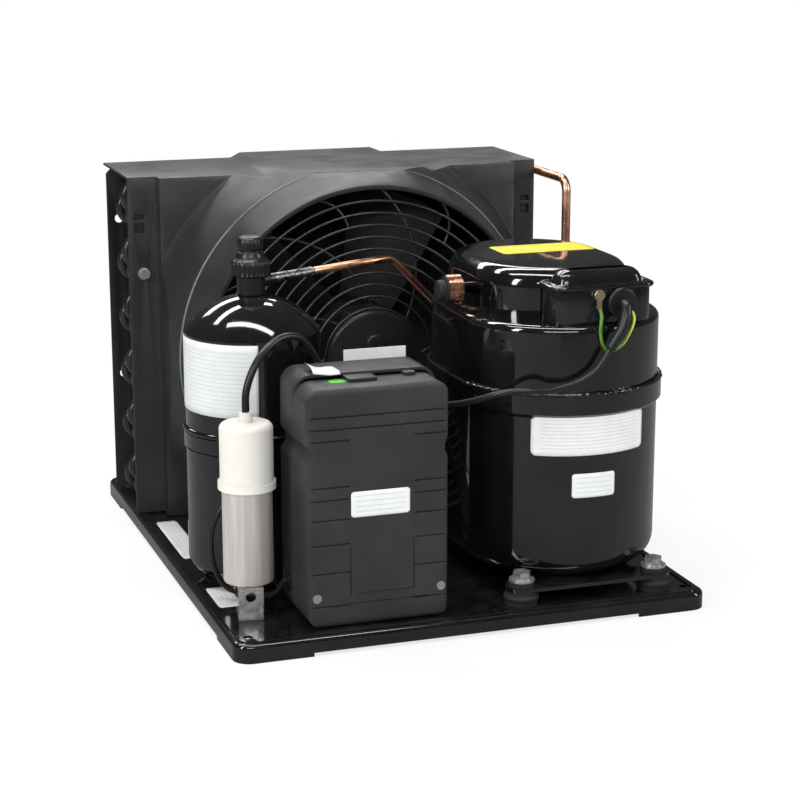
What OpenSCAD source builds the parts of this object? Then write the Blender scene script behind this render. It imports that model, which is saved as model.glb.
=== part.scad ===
// Air-cooled refrigeration condensing unit on a pressed steel base.
// Millimetres, +Z up, +Y towards the condenser, origin at the middle of the base's underside.

/* [Base] */
// Width of the base across the air flow
base_w = 400; // [380:1:440]
// Depth of the base along the air flow
base_d = 500; // [480:1:560]
// Height of the deck's top above the floor
base_h = 15; // [14:0.5:18]
// Thickness of the base's sheet
base_sheet = 2; // [1.5:0.1:2.2]
// Radius of the base's corners in plan
base_corner_r = 14; // [10:0.5:20]
// Radius rolled along the base's top edge
base_edge_r = 4; // [3:0.25:5]
// Length of each corner's deeper rim, which stands on the floor
base_foot_run = 62; // [50:1:75]
// How far the rim between the corners stays off the floor
base_rim_lift = 3; // [2:0.5:4]
// Radius of the mounting holes
mount_hole_r = 3.5; // [3:0.1:4]
// Distance of the mounting holes from the side edges
mount_inset_x = 14; // [13:0.5:16]
// Distance of the mounting holes from the front and back edges
mount_inset_y = 19; // [18:0.5:22]

/* [Condenser and shroud] */
// Width of the shroud over its side flanges
shroud_w = 390; // [384:1:396]
// Height of the shroud above the deck
shroud_h = 312; // [306:1:320]
// Depth of the shroud's casing, from its flanges to the back
shroud_d = 108; // [104:1:112]
// Wall of the shroud
shroud_t = 2; // [1.5:0.1:2.5]
// Width of the shroud's side flanges
flange_w = 26; // [24:0.5:28]
// Radius of the fan opening
fan_open_r = 150; // [146:0.5:152]
// Radius of the collar's outer edge, where the bell begins
collar_r = 165; // [160:0.5:168]
// Depth of the collar from its front to the bell's edge
collar_d = 40; // [34:1:46]
// Depth of the bell from the collar to the corner panels
bell_d = 49; // [44:1:54]
// Vertical pitch of the coil's tubes
tube_pitch = 25.4; // [25:0.1:25.8]
// Rows of tubes, front to back
tube_rows = 3; // [2:1:3]
// Outer radius of the coil's tubes
coil_tube_r = 4.76; // [4.5:0.02:5]
// Pitch of the fins
fin_pitch = 8; // [6:0.5:12]
// Thickness of one fin
fin_t = 0.6; // [0.4:0.05:0.8]

/* [Fan] */
// Radius of the fan motor's body
fan_motor_r = 43; // [40:0.5:45]
// Length of the fan motor's body
fan_motor_l = 46; // [42:1:50]
// Radius of the blade tips
blade_tip_r = 143; // [136:0.5:144]
// Number of blades
blade_count = 5; // [3:1:6]
// Radius of the fan shaft
fan_shaft_r = 4; // [3.5:0.1:4.5]
// Wire radius of the guard
guard_wire_r = 1.1; // [1:0.05:1.3]
// Rings of the guard
guard_rings = 10; // [7:1:10]
// Long curved spokes of the guard
guard_spokes = 8; // [6:1:10]

/* [Compressor] */
// Half width of the compressor's shell
shell_r = 84; // [80:0.5:86]
// Distance between the centres of the shell's two round ends
shell_run = 56; // [48:1:60]
// Wall of the shell
shell_t = 3; // [2.5:0.1:3.5]
// Height of the lower shell's rim above the deck
rim_h = 170; // [160:1:176]
// Height of the upper shell's shoulder above the deck
shoulder_h = 226; // [220:1:232]
// Height of the lid's top above the deck
lid_top_h = 264; // [258:1:270]
// Distance between the compressor's bolts across the base
foot_span_x = 117; // [112:1:120]
// Distance between the compressor's bolts along the base
foot_span_y = 206; // [200:1:208]
// Radius of the rubber grommets
grommet_r = 14.5; // [13:0.25:16]
// Height of the rubber grommets under the foot plate
grommet_h = 12; // [11:0.5:13]
// Radius of the compressor's foot bolts
foot_bolt_r = 4; // [3.5:0.1:4.5]

/* [Receiver] */
// Outer radius of the liquid receiver
receiver_r = 56; // [52:0.5:58]
// Height of the receiver's shoulder above the deck
receiver_shoulder_h = 210; // [200:1:216]
// Height of the receiver's weld band above the deck
receiver_band_h = 128; // [120:1:134]
// Wall of the receiver
receiver_t = 2.5; // [2:0.1:3]

/* [Electrical] */
// Width of the electrical box
box_w = 116; // [110:1:120]
// Height of the electrical box's front cover
box_h = 192; // [184:1:198]
// Depth of the box's rear housing
rear_d = 39; // [36:1:42]
// Depth of the box's front cover
cover_d = 34; // [30:1:36]
// Wall of the box
box_t = 2.4; // [2:0.1:3]
// Radius of the run capacitor's can
can_r = 20; // [18:0.5:21]
// Height of the run capacitor's can
can_h = 108; // [100:1:112]

/* [Hidden] */
$fn = 64;
// Overrun of every cut past the face that it opens
over = 1;
// Clearance between pieces that seat beside each other
gap = 0.3;
// Radial clearance of a turning or sliding fit
fit = 0.05;
deck_z = base_h;
black = [0.05, 0.05, 0.055];
shell_black = [0.03, 0.03, 0.035];
copper = [0.72, 0.42, 0.25];
coil_brown = [0.28, 0.16, 0.1];
rubber = [0.03, 0.03, 0.03];
zinc = [0.8, 0.8, 0.82];
grey = [0.14, 0.145, 0.15];

// Places on the deck
shroud_x = -4;
shroud_y = 113;
fan_x = -3;
fan_z = deck_z + shroud_h / 2;
comp_x = 102.5;
comp_y = -122;
recv_x = -139;
recv_y = -82;
box_x = -80;
cover_front_y = -235;
can_x = -170;
can_y = -176;

// Base
bead_w = 4;
bead_h = 1.2;
bead_inset = 5;

// Shroud
shroud_top = deck_z + shroud_h;
shroud_back_y = shroud_y + shroud_d;
raised_w = 148;
raised_h = 4.5;
panel_d = 14;
panel_y = shroud_y - panel_d;
collar_front_y = panel_y - bell_d - collar_d;
bell_flare = 22;
bell_r = collar_r + bell_flare;
flange_lift = bead_h + gap;
hole_side = 9;
hole_drop = 46;
slot_drop = 36;
slot_side = 5;
slot_shift = 3;
flange_screw_drop = 87;
flange_screw_r = 2.2;
screw_af = 8;
screw_head_h = 4.5;
screw_flange_r = 5.5;
screw_flange_h = 1;
screw_l = 9;

// Coil
channel_lip = 22;
sheet_t = 1.5;
coil_clear = 5;
coil_front_y = shroud_y + shroud_t + sheet_t + coil_clear;
row_pitch = 22;
coil_margin = 15;
coil_d = (tube_rows - 1) * row_pitch + 2 * coil_margin;
web_left_x = shroud_x - shroud_w / 2 + channel_lip;
web_right_x = shroud_x + shroud_w / 2 - channel_lip;
tube_edge = 3;
tube_room = shroud_h - shroud_t - 2 * coil_tube_r - 2 * tube_edge;
tubes_high = floor(tube_room / tube_pitch + 1 / 2);
tube_span = tubes_high * tube_pitch - tube_pitch / 2;
first_tube_z = deck_z + (shroud_h - shroud_t - tube_span) / 2;
bend_gap = 2;
cross_bend_r = 12;
cross_reach = 16;
channel_d = 97;
channel_back_y = shroud_y + channel_d;
corner_cut = 9;
peep_r = 4;
peep_drops = [51, 199];
foot_w = 17;
foot_in = 5;
foot_d = 23;
foot_t = 1.8;
foot_h = 30;
foot_screw_af = 7;
foot_screw_h = 4.5;
foot_screw_flange_r = 5;
foot_screw_r = 2.1;
foot_screw_l = 7;

// Fan
boss_rise = 13;
boss_r = 9;
boss_h = 4;
boss_edge = 1.5;
motor_proud = 2;
motor_front_y = collar_front_y - motor_proud;
motor_back_y = motor_front_y + fan_motor_l;
motor_edge_r = 3.5;
motor_step = 3;
motor_step_l = 14;
shaft_seat = 12;
guard_y = collar_front_y + shroud_t + gap + guard_wire_r;
guard_core_r = fan_motor_r + gap + guard_wire_r;
guard_lap = 0.4;
guard_outer_r = fan_open_r + guard_lap;
ring_pitch = (guard_outer_r - guard_core_r) / guard_rings;
spoke_sweep_deg = 42;
short_sweep_deg = 9;
spoke_arc_share = 0.85;
hub_r = 44;
hub_wall = 2.5;
hub_l = 30;
hub_gap = 4;
hub_y = motor_back_y + hub_gap;
blade_t = 1.6;
blade_pitch_deg = 63;
blade_camber_r = 150;
blade_root = 50;
blade_chord = 92;

// Compressor
plate_t = 3;
plate_z = deck_z + grommet_h;
plate_lug = 13;
plate_waist = 90;
shell_z = plate_z + plate_t + gap;
bottom_r = 22;
shoulder_r = 6;
lid_edge_r = 15;
lid_inset = 17;
lid_run = 40;
lid_shift_y = 14;
joggle = 3.5;
joggle_h = 15;
upper_z = deck_z + rim_h - joggle_h + gap;
sleeve_wall = 1.5;
sleeve_h = 19;
bolt_head_h = 6;
bolt_head_af = 13;
bolt_l = 26;
washer_r = 10.5;
washer_t = 1.6;
grommet_collar_r = 10.5;
grommet_neck = 3;
grommet_bulge = 3;

// Terminal housing of the compressor
term_w = 86;
term_d = 38;
term_x = 112;
term_front_y = -226;
term_y = term_front_y + term_d / 2;
term_base_h = 31;
term_cap_h = 5;
term_r = 14;
term_t = 2;
term_lap = 5;
term_z = deck_z + shoulder_h + gap;
gland_x = term_x + 13;
gland_up = 16;
gland_z = term_z + gland_up;
gland_r = 12.5;
gland_neck_r = 9;
gland_h = 5;
gland_edge = 2;
earth_x = term_x - 6;
earth_up = 23;
earth_z = term_z + earth_up;
earth_r = 2;
earth_af = 7;
earth_head_h = 3.5;
earth_lug_t = 1;
earth_lug_r = 4.5;
earth_lug_l = 11;

// Suction stub, plug and the compressor's discharge port
lid_side_x = comp_x - shell_r + lid_inset;
suction_y = -139;
suction_z = deck_z + lid_top_h - 20;
stub_in = 12;
stub_tube_r = 5;
stub_tube_l = 14.5;
stub_bell_r = 12;
stub_bell_l = 12;
stub_wall = 1.2;
plug_r = 8;
plug_l = 17;
plug_edge = 2;
discharge_in_y = -60;
discharge_in_z = deck_z + 135;

// Motor and pump inside the shell
stator_lift = 26;
stator_r = 62;
stator_h = 52;
winding_h = 18;
post_r = 4;
winding_r = 52;
rotor_r = 31;
air_gap = 0.4;
crank_r = 9;
crank_web_r = 16;
crank_web_t = 7;
crank_throw = 8;
crank_pin_r = 5;
crank_pin_l = 16;
block_h = 22;
bore_wall_r = 17;
bore_r = 12;
bore_l = 34;
bore_head = 8;
piston_clear = 9;
piston_l = 18;

// Receiver
recv_lift = 7;
recv_z = deck_z + recv_lift;
recv_bottom_r = 14;
recv_dome_h = 30;
band_h = 12;
band_step = 1.6;
weld_r = 2.2;
recv_foot_in = 12;
recv_foot_lip = 5;
recv_foot_t = 2;
valve_z = deck_z + receiver_shoulder_h + recv_dome_h + gap;
valve_root = 9;
valve_r = 11.5;
valve_wall = 2;
valve_h = 32;
valve_neck_h = 14;
valve_neck_r = 8;
spindle_r = 3;
spindle_out = 4;
spindle_flat = 3.6;
cap_lift = 15;
cap_r = 15.5;
cap_ribs = 24;
cap_rib_r = 0.8;
cap_knurl_h = 12;
cap_cone_h = 12;
cap_neck_r = 10.8;
cap_knob_h = 8;
cap_edge = 3.5;
cap_wall = 2.2;
port_turn_deg = 26;
port_rise = 9;
port_z = valve_z + port_rise;
port_r = 5.6;
port_l = 19;
port_seat = 6;

// Pipes
steel_stub_r = 4;
steel_stub_l = 54;
stub_seat = 6;
liquid_r = 3.4;
discharge_r = 4;
pipe_margin = 0.5;
pipe_x = shroud_x + shroud_w / 2 + discharge_r + pipe_margin;
liquid_bend_r = 16;
bend_steps = 5;
pipe_sides = 16;
discharge_bend_r = 12;
port_dir = [cos(port_turn_deg), sin(port_turn_deg), 0];
port_at = [recv_x, recv_y, port_z];
stub_end_l = port_l - port_seat + gap + steel_stub_l;
liquid_corner_l = 160;
liquid_down_x = 52;
liquid_down_y = 1.5;
liquid_top_z = 218;
discharge_down_y = 47;
discharge_end_x = 174;
coil_end_x = web_right_x + bend_gap + gap;
top_z = tube_z(1, tubes_high - 1);
liquid_route = [
  port_at + (stub_end_l - stub_seat) * port_dir,
  port_at + liquid_corner_l * port_dir,
  [liquid_down_x, liquid_down_y, liquid_top_z], [liquid_down_x, liquid_down_y, first_tube_z],
  [pipe_x, liquid_down_y, first_tube_z],
  [pipe_x, tube_y(0), first_tube_z],
  [coil_end_x, tube_y(0), first_tube_z]];
discharge_route = [
  [coil_end_x, tube_y(1), top_z],
  [pipe_x, tube_y(1), top_z],
  [pipe_x, discharge_down_y, top_z], [pipe_x, discharge_down_y, discharge_in_z],
  [pipe_x, discharge_in_y, discharge_in_z], [discharge_end_x, discharge_in_y, discharge_in_z]];

// Electrical box
box_r = 13;
box_edge_r = 6;
rear_rise = 4;
rear_h = box_h + rear_rise;
seam_y = cover_front_y + cover_d;
box_back_y = seam_y + gap + rear_d;
box_z = deck_z + gap;
waist_up = 130;
waist_h = 18;
waist_d = 4;
groove_w = 1.6;
groove_d = 1.4;
groove_left = 34;
groove_right = 29;
long_grooves = 2;
groove_shares = [0.883, 0.833, 0.786, 0.594, 0.542, 0.458, 0.354, 0.234, 0.094];
box_screw_x = 51;
box_screw_z = deck_z + 26;
box_screw_r = 1.8;
box_screw_l = 16;
box_head_r = 3.6;
box_head_h = 2.4;
box_head_sink = 2;
box_boss_r = 5;
tongue_x = -87;
tongue_w = 23;
tongue_l = 16;
tongue_t = 2.2;
tab_x = -46;
tab_w = 9;
tab_l = 8;
small_gland_r = 5.5;
gland_lip = 2;
fan_gland_y = -178;
fan_gland_z = deck_z + 24;
comp_gland_y = -186;
comp_gland_z = deck_z + 161;
cap_gland_x = -99;
cap_gland_z = deck_z + 180;
tag_x = -59;
tag_w = 52;
tag_h = 15;
tag_t = 1;
tag_z = deck_z + 190;
relay_x = 12;
relay_w = 30;
relay_d = 26;
relay_h = 34;
relay_up = 66;
start_cap_x = -26;
start_cap_r = 16;
start_cap_h = 84;
start_cap_up = 62;
block_poles = 5;
block_w = 60;
block_d = 20;
block_tall = 18;
block_up = 22;

// Capacitor
can_lift = 27;
can_z = deck_z + can_lift;
can_edge = 2.5;
stud_r = 4;
stud_l = 9;
stud_nut_h = 5;
stud_nut_r = 7.4;
cap_skirt_h = 53;
cap_room = 22;
cap_shell = 1.2;
cap_top_edge = 5;
cap_flange_h = 6;
cap_flange_r = 23;
spout_r = 5.5;
spout_h = 8;
bracket_turn_deg = -10;
bracket_w = 20;
bracket_t = 2;
bracket_set = 2.5;
bracket_foot = 30;
bracket_hole_up = 19;
bracket_hole_r = 4;

// Cables
cable_seg = 8;
cable_r = 3;
lead_r = 2.2;
comp_cable_r = 2.6;
sleeve_cable_r = 5;
earth_wire_r = 1.4;
gland_top_y = term_front_y - gland_h - gap;
capacitor_route = [
  [can_x, can_y, can_z + can_h + 14],
  [can_x, can_y, can_z + can_h + 30],
  [-169, -175, 196], [-162, -172, 213], [-150, -166, 226], [-134, -158, 233], [-118, -151, 230],
  [-108, -147, 219], [-101, -146, 206], [cap_gland_x, -151, cap_gland_z],
  [cap_gland_x, box_back_y + 4, cap_gland_z],
  [cap_gland_x, box_back_y - 4, cap_gland_z]];
sleeve_route = [
  [gland_x, gland_top_y + 9, gland_z],
  [gland_x, gland_top_y - 1, gland_z], [gland_x, gland_top_y - 5.2, gland_z - 1],
  [gland_x - 2, gland_top_y - 9, gland_z - 7],
  [gland_x - 7, gland_top_y - 12, gland_z - 19],
  [gland_x - 16, gland_top_y - 12, gland_z - 33]];
comp_route = [
  [gland_x - 16.2, gland_top_y - 12, gland_z - 33.3],
  [gland_x - 22, gland_top_y - 12.2, gland_z - 42],
  [gland_x - 30, gland_top_y - 12.2, gland_z - 51], [84, -243.5, 200], [70, -243, 196],
  [54, -243, 194], [36, -240, 195], [20, -231, 192], [6, -215, 184], [-6, -198, 178],
  [-14, comp_gland_y - 1, comp_gland_z], [-18.6, comp_gland_y, comp_gland_z],
  [-26, comp_gland_y, comp_gland_z]];
earth_route = [
  [earth_x, term_front_y - 1.8, earth_z - earth_lug_l - gap], [earth_x - 1, -234, 248],
  [103, -237, 236], [106, -237, 225], [113, -236.6, 221.5], [122, -236.6, 225.5],
  [129, -236.8, 236.5], [131.8, -236.6, 245], [131.5, -234.5, 249.8],
  [131.2, gland_top_y - gap, 250.4]];
fan_route = [
  [box_x - box_w / 2 + 1.5, fan_gland_y, fan_gland_z],
  [box_x - box_w / 2 - 4, fan_gland_y, fan_gland_z], [-146, -175, 30], [-151, -166, 24],
  [-163, -150, 21], [-180, -141, 26], [-190, -139, 48], [-190, -141, 78], [-178, -144, 98],
  [-160, -147, 99], [-147, -152, 82], [-143, -154, 52], [-140, -149, 28], [-120, -141, 19],
  [-92, -121, 18.5], [-75, -88, 18.5], [-60, -40, 20], [-40, -8, 42], [-24, -4, 90],
  [-14, -4, 124], [-14, 0, 134], [-14, motor_front_y - gap, 134]];

// Flat outline of a rectangle with round corners, centred
module rounded_rect(w, d, r) {
  union() {
    square([w - 2 * r, d], center = true);
    square([w, d - 2 * r], center = true);
    for (x = [-1, 1])
      for (y = [-1, 1])
        translate([x * (w / 2 - r), y * (d / 2 - r)]) circle(r = r);
  }
}

// Upright plate with round corners, centred in plan
module rounded_plate(w, d, h, r) {
  linear_extrude(height = h) rounded_rect(w, d, r);
}

// Oval solid from a half profile, turned round both ends and run straight between them
module oval_solid(run) {
  translate([0, run / 2]) rotate_extrude(angle = 180) children();
  translate([0, -run / 2]) rotate([0, 0, 180]) rotate_extrude(angle = 180) children();
  for (s = [0, 1])
    translate([0, (1 - 2 * s) * run / 2])
      rotate([90, 0, s * 180]) linear_extrude(height = run) children();
}

// Half profile with one round outer corner at the top
module round_top_profile(r, h, edge) {
  union() {
    square([r, h - edge]);
    square([r - edge, h]);
    translate([r - edge, h - edge])
      intersection() {
        circle(r = edge);
        square([edge, edge]);
      }
  }
}

// Half profile with one round outer corner at the bottom
module round_bottom_profile(r, h, edge) {
  translate([0, h]) mirror([0, 1]) round_top_profile(r, h, edge);
}

// Round bar through corner points, each corner turned to the same bend radius
function leg(p, i) = p[i + 1] - p[i];
function corner_deg(p, i) =
  i <= 0 || i >= len(p) - 1 ? 0 : acos(unit(leg(p, i - 1)) * unit(leg(p, i)));
function corner_cut_l(p, i, bend) = bend * tan(corner_deg(p, i) / 2);

// Turns local +Z to a heading
module towards(v) {
  u = unit(v);
  rotate([0, acos(u[2]), atan2(u[1], u[0])]) children();
}

// Roll about the heading that brings local +X towards the next leg
function corner_roll(v, w) =
  let (u = unit(v), turn = atan2(u[1], u[0]), tilt = acos(u[2]),
    ax = [cos(tilt) * cos(turn), cos(tilt) * sin(turn), -sin(tilt)],
    ay = [-sin(turn), cos(turn), 0])
  atan2(w * ay, w * ax);

// Points along a bar whose corners are turned to one bend radius
function corner_arc(p, i, bend, steps) =
  let (u = unit(leg(p, i - 1)), w = unit(leg(p, i)), n = unit(w - (w * u) * u),
    start = p[i] - corner_cut_l(p, i, bend) * u)
  [for (s = [0 : steps])
    let (a = s * corner_deg(p, i) / steps)
    start + bend * (sin(a) * u + (1 - cos(a)) * n)];
function bent_path(p, bend, steps) = concat([p[0]],
  [for (i = [1 : len(p) - 2]) each corner_arc(p, i, bend, steps)], [p[len(p) - 1]]);

module bent_pipe(p, bend, r) {
  for (i = [0 : len(p) - 2]) {
    from = corner_cut_l(p, i, bend);
    to = corner_cut_l(p, i + 1, bend);
    translate(p[i] + from * unit(leg(p, i)))
      towards(leg(p, i)) cylinder(r = r, h = norm(leg(p, i)) - from - to);
  }
  for (i = [1 : len(p) - 2])
    translate(p[i] - corner_cut_l(p, i, bend) * unit(leg(p, i - 1)))
      towards(leg(p, i - 1))
        rotate([0, 0, corner_roll(leg(p, i - 1), leg(p, i))])
          translate([bend, 0, 0])
            rotate([90, 0, 0])
              rotate([0, 0, 180 - corner_deg(p, i)])
                rotate_extrude(angle = corner_deg(p, i)) translate([bend, 0]) circle(r = r);
}

// Hexagonal head with a round flange under it
module flange_head(af, h, flange_r, flange_h) {
  cylinder(r = flange_r, h = flange_h);
  translate([0, 0, flange_h]) cylinder(r = af / 2 / cos(30), h = h - flange_h, $fn = 6);
}

// Points along a smooth curve through the route, and the tube swept round them
function spline_point(p0, p1, p2, p3, t) =
  (2 * p1 + (p2 - p0) * t + (2 * p0 - 5 * p1 + 4 * p2 - p3) * t * t
  + (3 * p1 - p0 - 3 * p2 + p3) * t * t * t) / 2;
function route_point(route, i) = route[max(0, min(len(route) - 1, i))];
function smooth_route(route, steps) = [
  for (i = [0 : len(route) - 2])
    for (s = [0 : steps - 1])
      spline_point(route_point(route, i - 1), route[i], route[i + 1], route_point(route, i + 2),
        s / steps),
  route[len(route) - 1]];
function unit(v) = v / norm(v);
function path_heading(p, i) = unit(route_point(p, i + 1) - route_point(p, i - 1));
function side_of(heading, seed) = unit(cross(heading, cross(seed, heading)));
function carried_sides(p, i, seed) =
  i == len(p) ? [] :
  let (s = side_of(path_heading(p, i), seed)) concat([s], carried_sides(p, i + 1, s));

module swept_tube(path, r, sides, seed) {
  across = carried_sides(path, 0, seed);
  rings = [
    for (i = [0 : len(path) - 1])
      let (h = path_heading(path, i), a = across[i], b = cross(h, a))
      for (k = [0 : sides - 1])
        path[i] + r * (a * cos(360 * k / sides) + b * sin(360 * k / sides))];
  last = (len(path) - 1) * sides;
  walls = [
    for (i = [0 : len(path) - 2])
      for (k = [0 : sides - 1])
        let (a = i * sides + k, b = i * sides + (k + 1) % sides)
        for (half = [[a, b, b + sides], [a, b + sides, a + sides]])
          [half[2], half[1], half[0]]];
  start_cap = [for (k = [1 : sides - 2]) [0, k, k + 1]];
  end_cap = [for (k = [1 : sides - 2]) [last, last + k + 1, last + k]];
  polyhedron(points = rings, faces = concat(walls, start_cap, end_cap), convexity = 6);
}

// Pressed tray: deck, rolled edge and a rim that is deeper at the corners
module tray_profile(edge, top, low) {
  difference() {
    union() {
      translate([0, low]) square([base_corner_r, top - low - edge]);
      translate([0, low]) square([base_corner_r - edge, top - low]);
      translate([base_corner_r - edge, top - edge]) circle(r = edge);
    }
    translate([0, low - over])
      square([base_corner_r - base_sheet, top - base_sheet - low + over]);
  }
}

module base_plate() {
  color([0.035, 0.035, 0.04])
  difference() {
    union() {
      for (q = [0 : 3])
        let (sx = (q == 0 || q == 3) ? 1 : -1, sy = q < 2 ? 1 : -1)
          translate([sx * (base_w / 2 - base_corner_r), sy * (base_d / 2 - base_corner_r)])
            rotate([0, 0, q * 90])
              rotate_extrude(angle = 90) tray_profile(base_edge_r, base_h, 0);
      for (s = [0, 1])
        rotate([0, 0, s * 180]) {
          translate([-base_w / 2 + base_corner_r, base_d / 2 - base_corner_r])
            rotate([90, 0, 90])
              linear_extrude(height = base_w - 2 * base_corner_r)
                tray_profile(base_edge_r, base_h, 0);
          translate([base_w / 2 - base_corner_r, base_d / 2 - base_corner_r])
            rotate([90, 0, 0])
              linear_extrude(height = base_d - 2 * base_corner_r)
                tray_profile(base_edge_r, base_h, 0);
        }
      translate([-base_w / 2 + base_corner_r, -base_d / 2 + base_corner_r, base_h - base_sheet])
        cube([base_w - 2 * base_corner_r, base_d - 2 * base_corner_r, base_sheet]);
      // Bead pressed up round the deck
      translate([0, 0, base_h])
        linear_extrude(height = bead_h)
          difference() {
            rounded_rect(base_w - 2 * bead_inset, base_d - 2 * bead_inset, base_corner_r - bead_w);
            rounded_rect(base_w - 2 * (bead_inset + bead_w), base_d - 2 * (bead_inset + bead_w),
              base_corner_r - 2 * bead_w);
          }
    }
    // Rim lifted between the corners
    translate([-base_w / 2 + base_foot_run, -base_d / 2 - over, -over])
      cube([base_w - 2 * base_foot_run, base_d + 2 * over, base_rim_lift + over]);
    translate([-base_w / 2 - over, -base_d / 2 + base_foot_run, -over])
      cube([base_w + 2 * over, base_d - 2 * base_foot_run, base_rim_lift + over]);
    for (x = [-1, 1])
      for (y = [-1, 1])
        translate([x * (base_w / 2 - mount_inset_x), y * (base_d / 2 - mount_inset_y), 0])
          cylinder(r = mount_hole_r, h = base_h + bead_h + over);
    for (p = foot_places())
      translate([p[0], p[1], 0])
        cylinder(r = foot_bolt_r + gap, h = base_h + bead_h + over);
    for (out = [-1, 1])
      translate([foot_mid_x(out), foot_screw_y(), 0])
        cylinder(r = foot_screw_r + fit, h = base_h + over);
  }
}

// Places of the compressor's four feet
function foot_places() = [
  for (x = [-1, 1])
    for (y = [-1, 1])
      [comp_x + x * foot_span_x / 2, comp_y + y * foot_span_y / 2]];

// Places of the coil's tubes: row, height and the row's stagger
function tube_y(row) = coil_front_y + coil_margin + row * row_pitch;
function tube_z(row, level) = first_tube_z + level * tube_pitch + (row % 2) * tube_pitch / 2;

module tube_places() {
  for (row = [0 : tube_rows - 1])
    for (level = [0 : tubes_high - 1])
      translate([tube_y(row), tube_z(row, level)]) children();
}

module condenser_fins() {
  fin_run = web_right_x - web_left_x - 2 * sheet_t;
  count = floor(fin_run / fin_pitch);
  low = deck_z + gap;
  high = shroud_top - shroud_t - gap;
  color([0.08, 0.08, 0.085])
  for (i = [1 : count - 1])
    translate([web_left_x + sheet_t + i * fin_pitch + (fin_run - count * fin_pitch) / 2, 0, 0])
      rotate([90, 0, 90])
        linear_extrude(height = fin_t)
          difference() {
            translate([coil_front_y, low]) square([coil_d, high - low]);
            tube_places()
              circle(r = coil_tube_r + fit, $fn = 32);
          }
}

// Half ring that joins two tube ends, each given as its depth and height
module return_bend(x, a, b, out) {
  translate([x, (a[0] + b[0]) / 2, (a[1] + b[1]) / 2])
    rotate([atan2(b[1] - a[1], b[0] - a[0]), 0, 0])
      rotate([out > 0 ? 180 : 0, 0, 90])
        rotate_extrude(angle = 180)
          translate([norm(b - a) / 2, 0]) circle(r = coil_tube_r, $fn = 24);
}

module condenser_tubes() {
  left_x = web_left_x - bend_gap;
  color(coil_brown)
  for (row = [0 : tube_rows - 1], level = [0 : tubes_high - 1])
    translate([left_x, tube_y(row), tube_z(row, level)])
      rotate([0, 90, 0])
        cylinder(r = coil_tube_r, h = web_right_x + bend_gap - left_x, $fn = 24);
}

module return_bends() {
  left_x = web_left_x - bend_gap;
  right_x = web_right_x + bend_gap;
  top = tubes_high - 1;
  color(coil_brown) {
    for (row = [0 : tube_rows - 1]) {
      for (level = [0 : 2 : top - 1])
        return_bend(left_x, tube_at(row, level), tube_at(row, level + 1), -1);
      for (level = [1 : 2 : top - 2])
        return_bend(right_x, tube_at(row, level), tube_at(row, level + 1), 1);
    }
    // Bends from one row to the next
    if (tube_rows > 2) {
      return_bend(right_x, tube_at(2, 0), tube_at(1, 0), 1);
      bent_pipe([
        [right_x, tube_y(2), tube_z(2, top)],
        [right_x + cross_reach, tube_y(2), tube_z(2, top)],
        [right_x + cross_reach, tube_y(0), tube_z(0, top)],
        [right_x, tube_y(0), tube_z(0, top)]], cross_bend_r, coil_tube_r, $fn = 24);
    }
  }
}

function tube_at(row, level) = [tube_y(row), tube_z(row, level)];

// Tube sheet folded as a channel, with its lips turned outwards
module end_plate(web_x, out) {
  lip_x = out > 0 ? web_x : web_x - channel_lip;
  front_y = shroud_y + shroud_t + gap;
  top_z = shroud_top - shroud_t - gap;
  low_z = deck_z + gap;
  lip_z = deck_z + bead_h + gap;
  difference() {
    union() {
      translate([out > 0 ? web_x : web_x - sheet_t, front_y, low_z])
        cube([sheet_t, channel_back_y - front_y, top_z - low_z]);
      translate([lip_x, front_y, lip_z]) cube([channel_lip, sheet_t, top_z - lip_z]);
      translate([lip_x, channel_back_y - sheet_t, lip_z])
        cube([channel_lip, sheet_t, top_z - lip_z]);
    }
    translate([web_x - channel_lip - over, 0, 0])
      rotate([90, 0, 90])
        linear_extrude(height = 2 * (channel_lip + over))
          tube_places()
            circle(r = coil_tube_r + fit, $fn = 32);
    translate([web_x + out * channel_lip, channel_back_y, top_z])
      rotate([0, 45, 0]) cube([corner_cut, 4 * sheet_t, corner_cut], center = true);
    for (drop = peep_drops)
      translate([web_x + out * channel_lip / 2, channel_back_y - 2 * sheet_t, shroud_top - drop])
        rotate([-90, 0, 0]) cylinder(r = peep_r, h = 4 * sheet_t);
    // Holes of the screws that hold the shroud's flange
    translate([web_x + out * (channel_lip - flange_w / 2), front_y - over, screw_z()])
      rotate([-90, 0, 0]) cylinder(r = flange_screw_r + fit, h = sheet_t + 2 * over);
  }
}

function screw_z() = shroud_top - flange_screw_drop;

module end_plate_left() {
  color(black)
  end_plate(web_left_x, -1);
}

module end_plate_right() {
  color(black)
  end_plate(web_right_x, 1);
}

// Gusseted angle that holds each end plate down to the deck
function foot_mid_x(out) =
  (out > 0 ? web_right_x : web_left_x) + out * (foot_in - foot_w / 2);
function foot_screw_y() = channel_back_y + gap + foot_d / 2 + foot_t;

module condenser_foot(out) {
  y = channel_back_y + gap;
  x = foot_mid_x(out) - foot_w / 2;
  difference() {
    union() {
      translate([x, y, deck_z]) cube([foot_w, foot_d, foot_t]);
      translate([x, y, deck_z]) cube([foot_w, foot_t, foot_h]);
      translate([x + (out > 0 ? foot_w - foot_t : 0), y, deck_z])
        rotate([90, 0, 90])
          linear_extrude(height = foot_t) polygon([[0, 0], [foot_d, 0], [0, foot_h]]);
    }
    translate([foot_mid_x(out), foot_screw_y(), deck_z - over])
      cylinder(r = foot_screw_r + fit, h = foot_t + 2 * over);
  }
}

module condenser_feet() {
  color(black)
  for (out = [-1, 1])
    condenser_foot(out);
}

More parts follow.
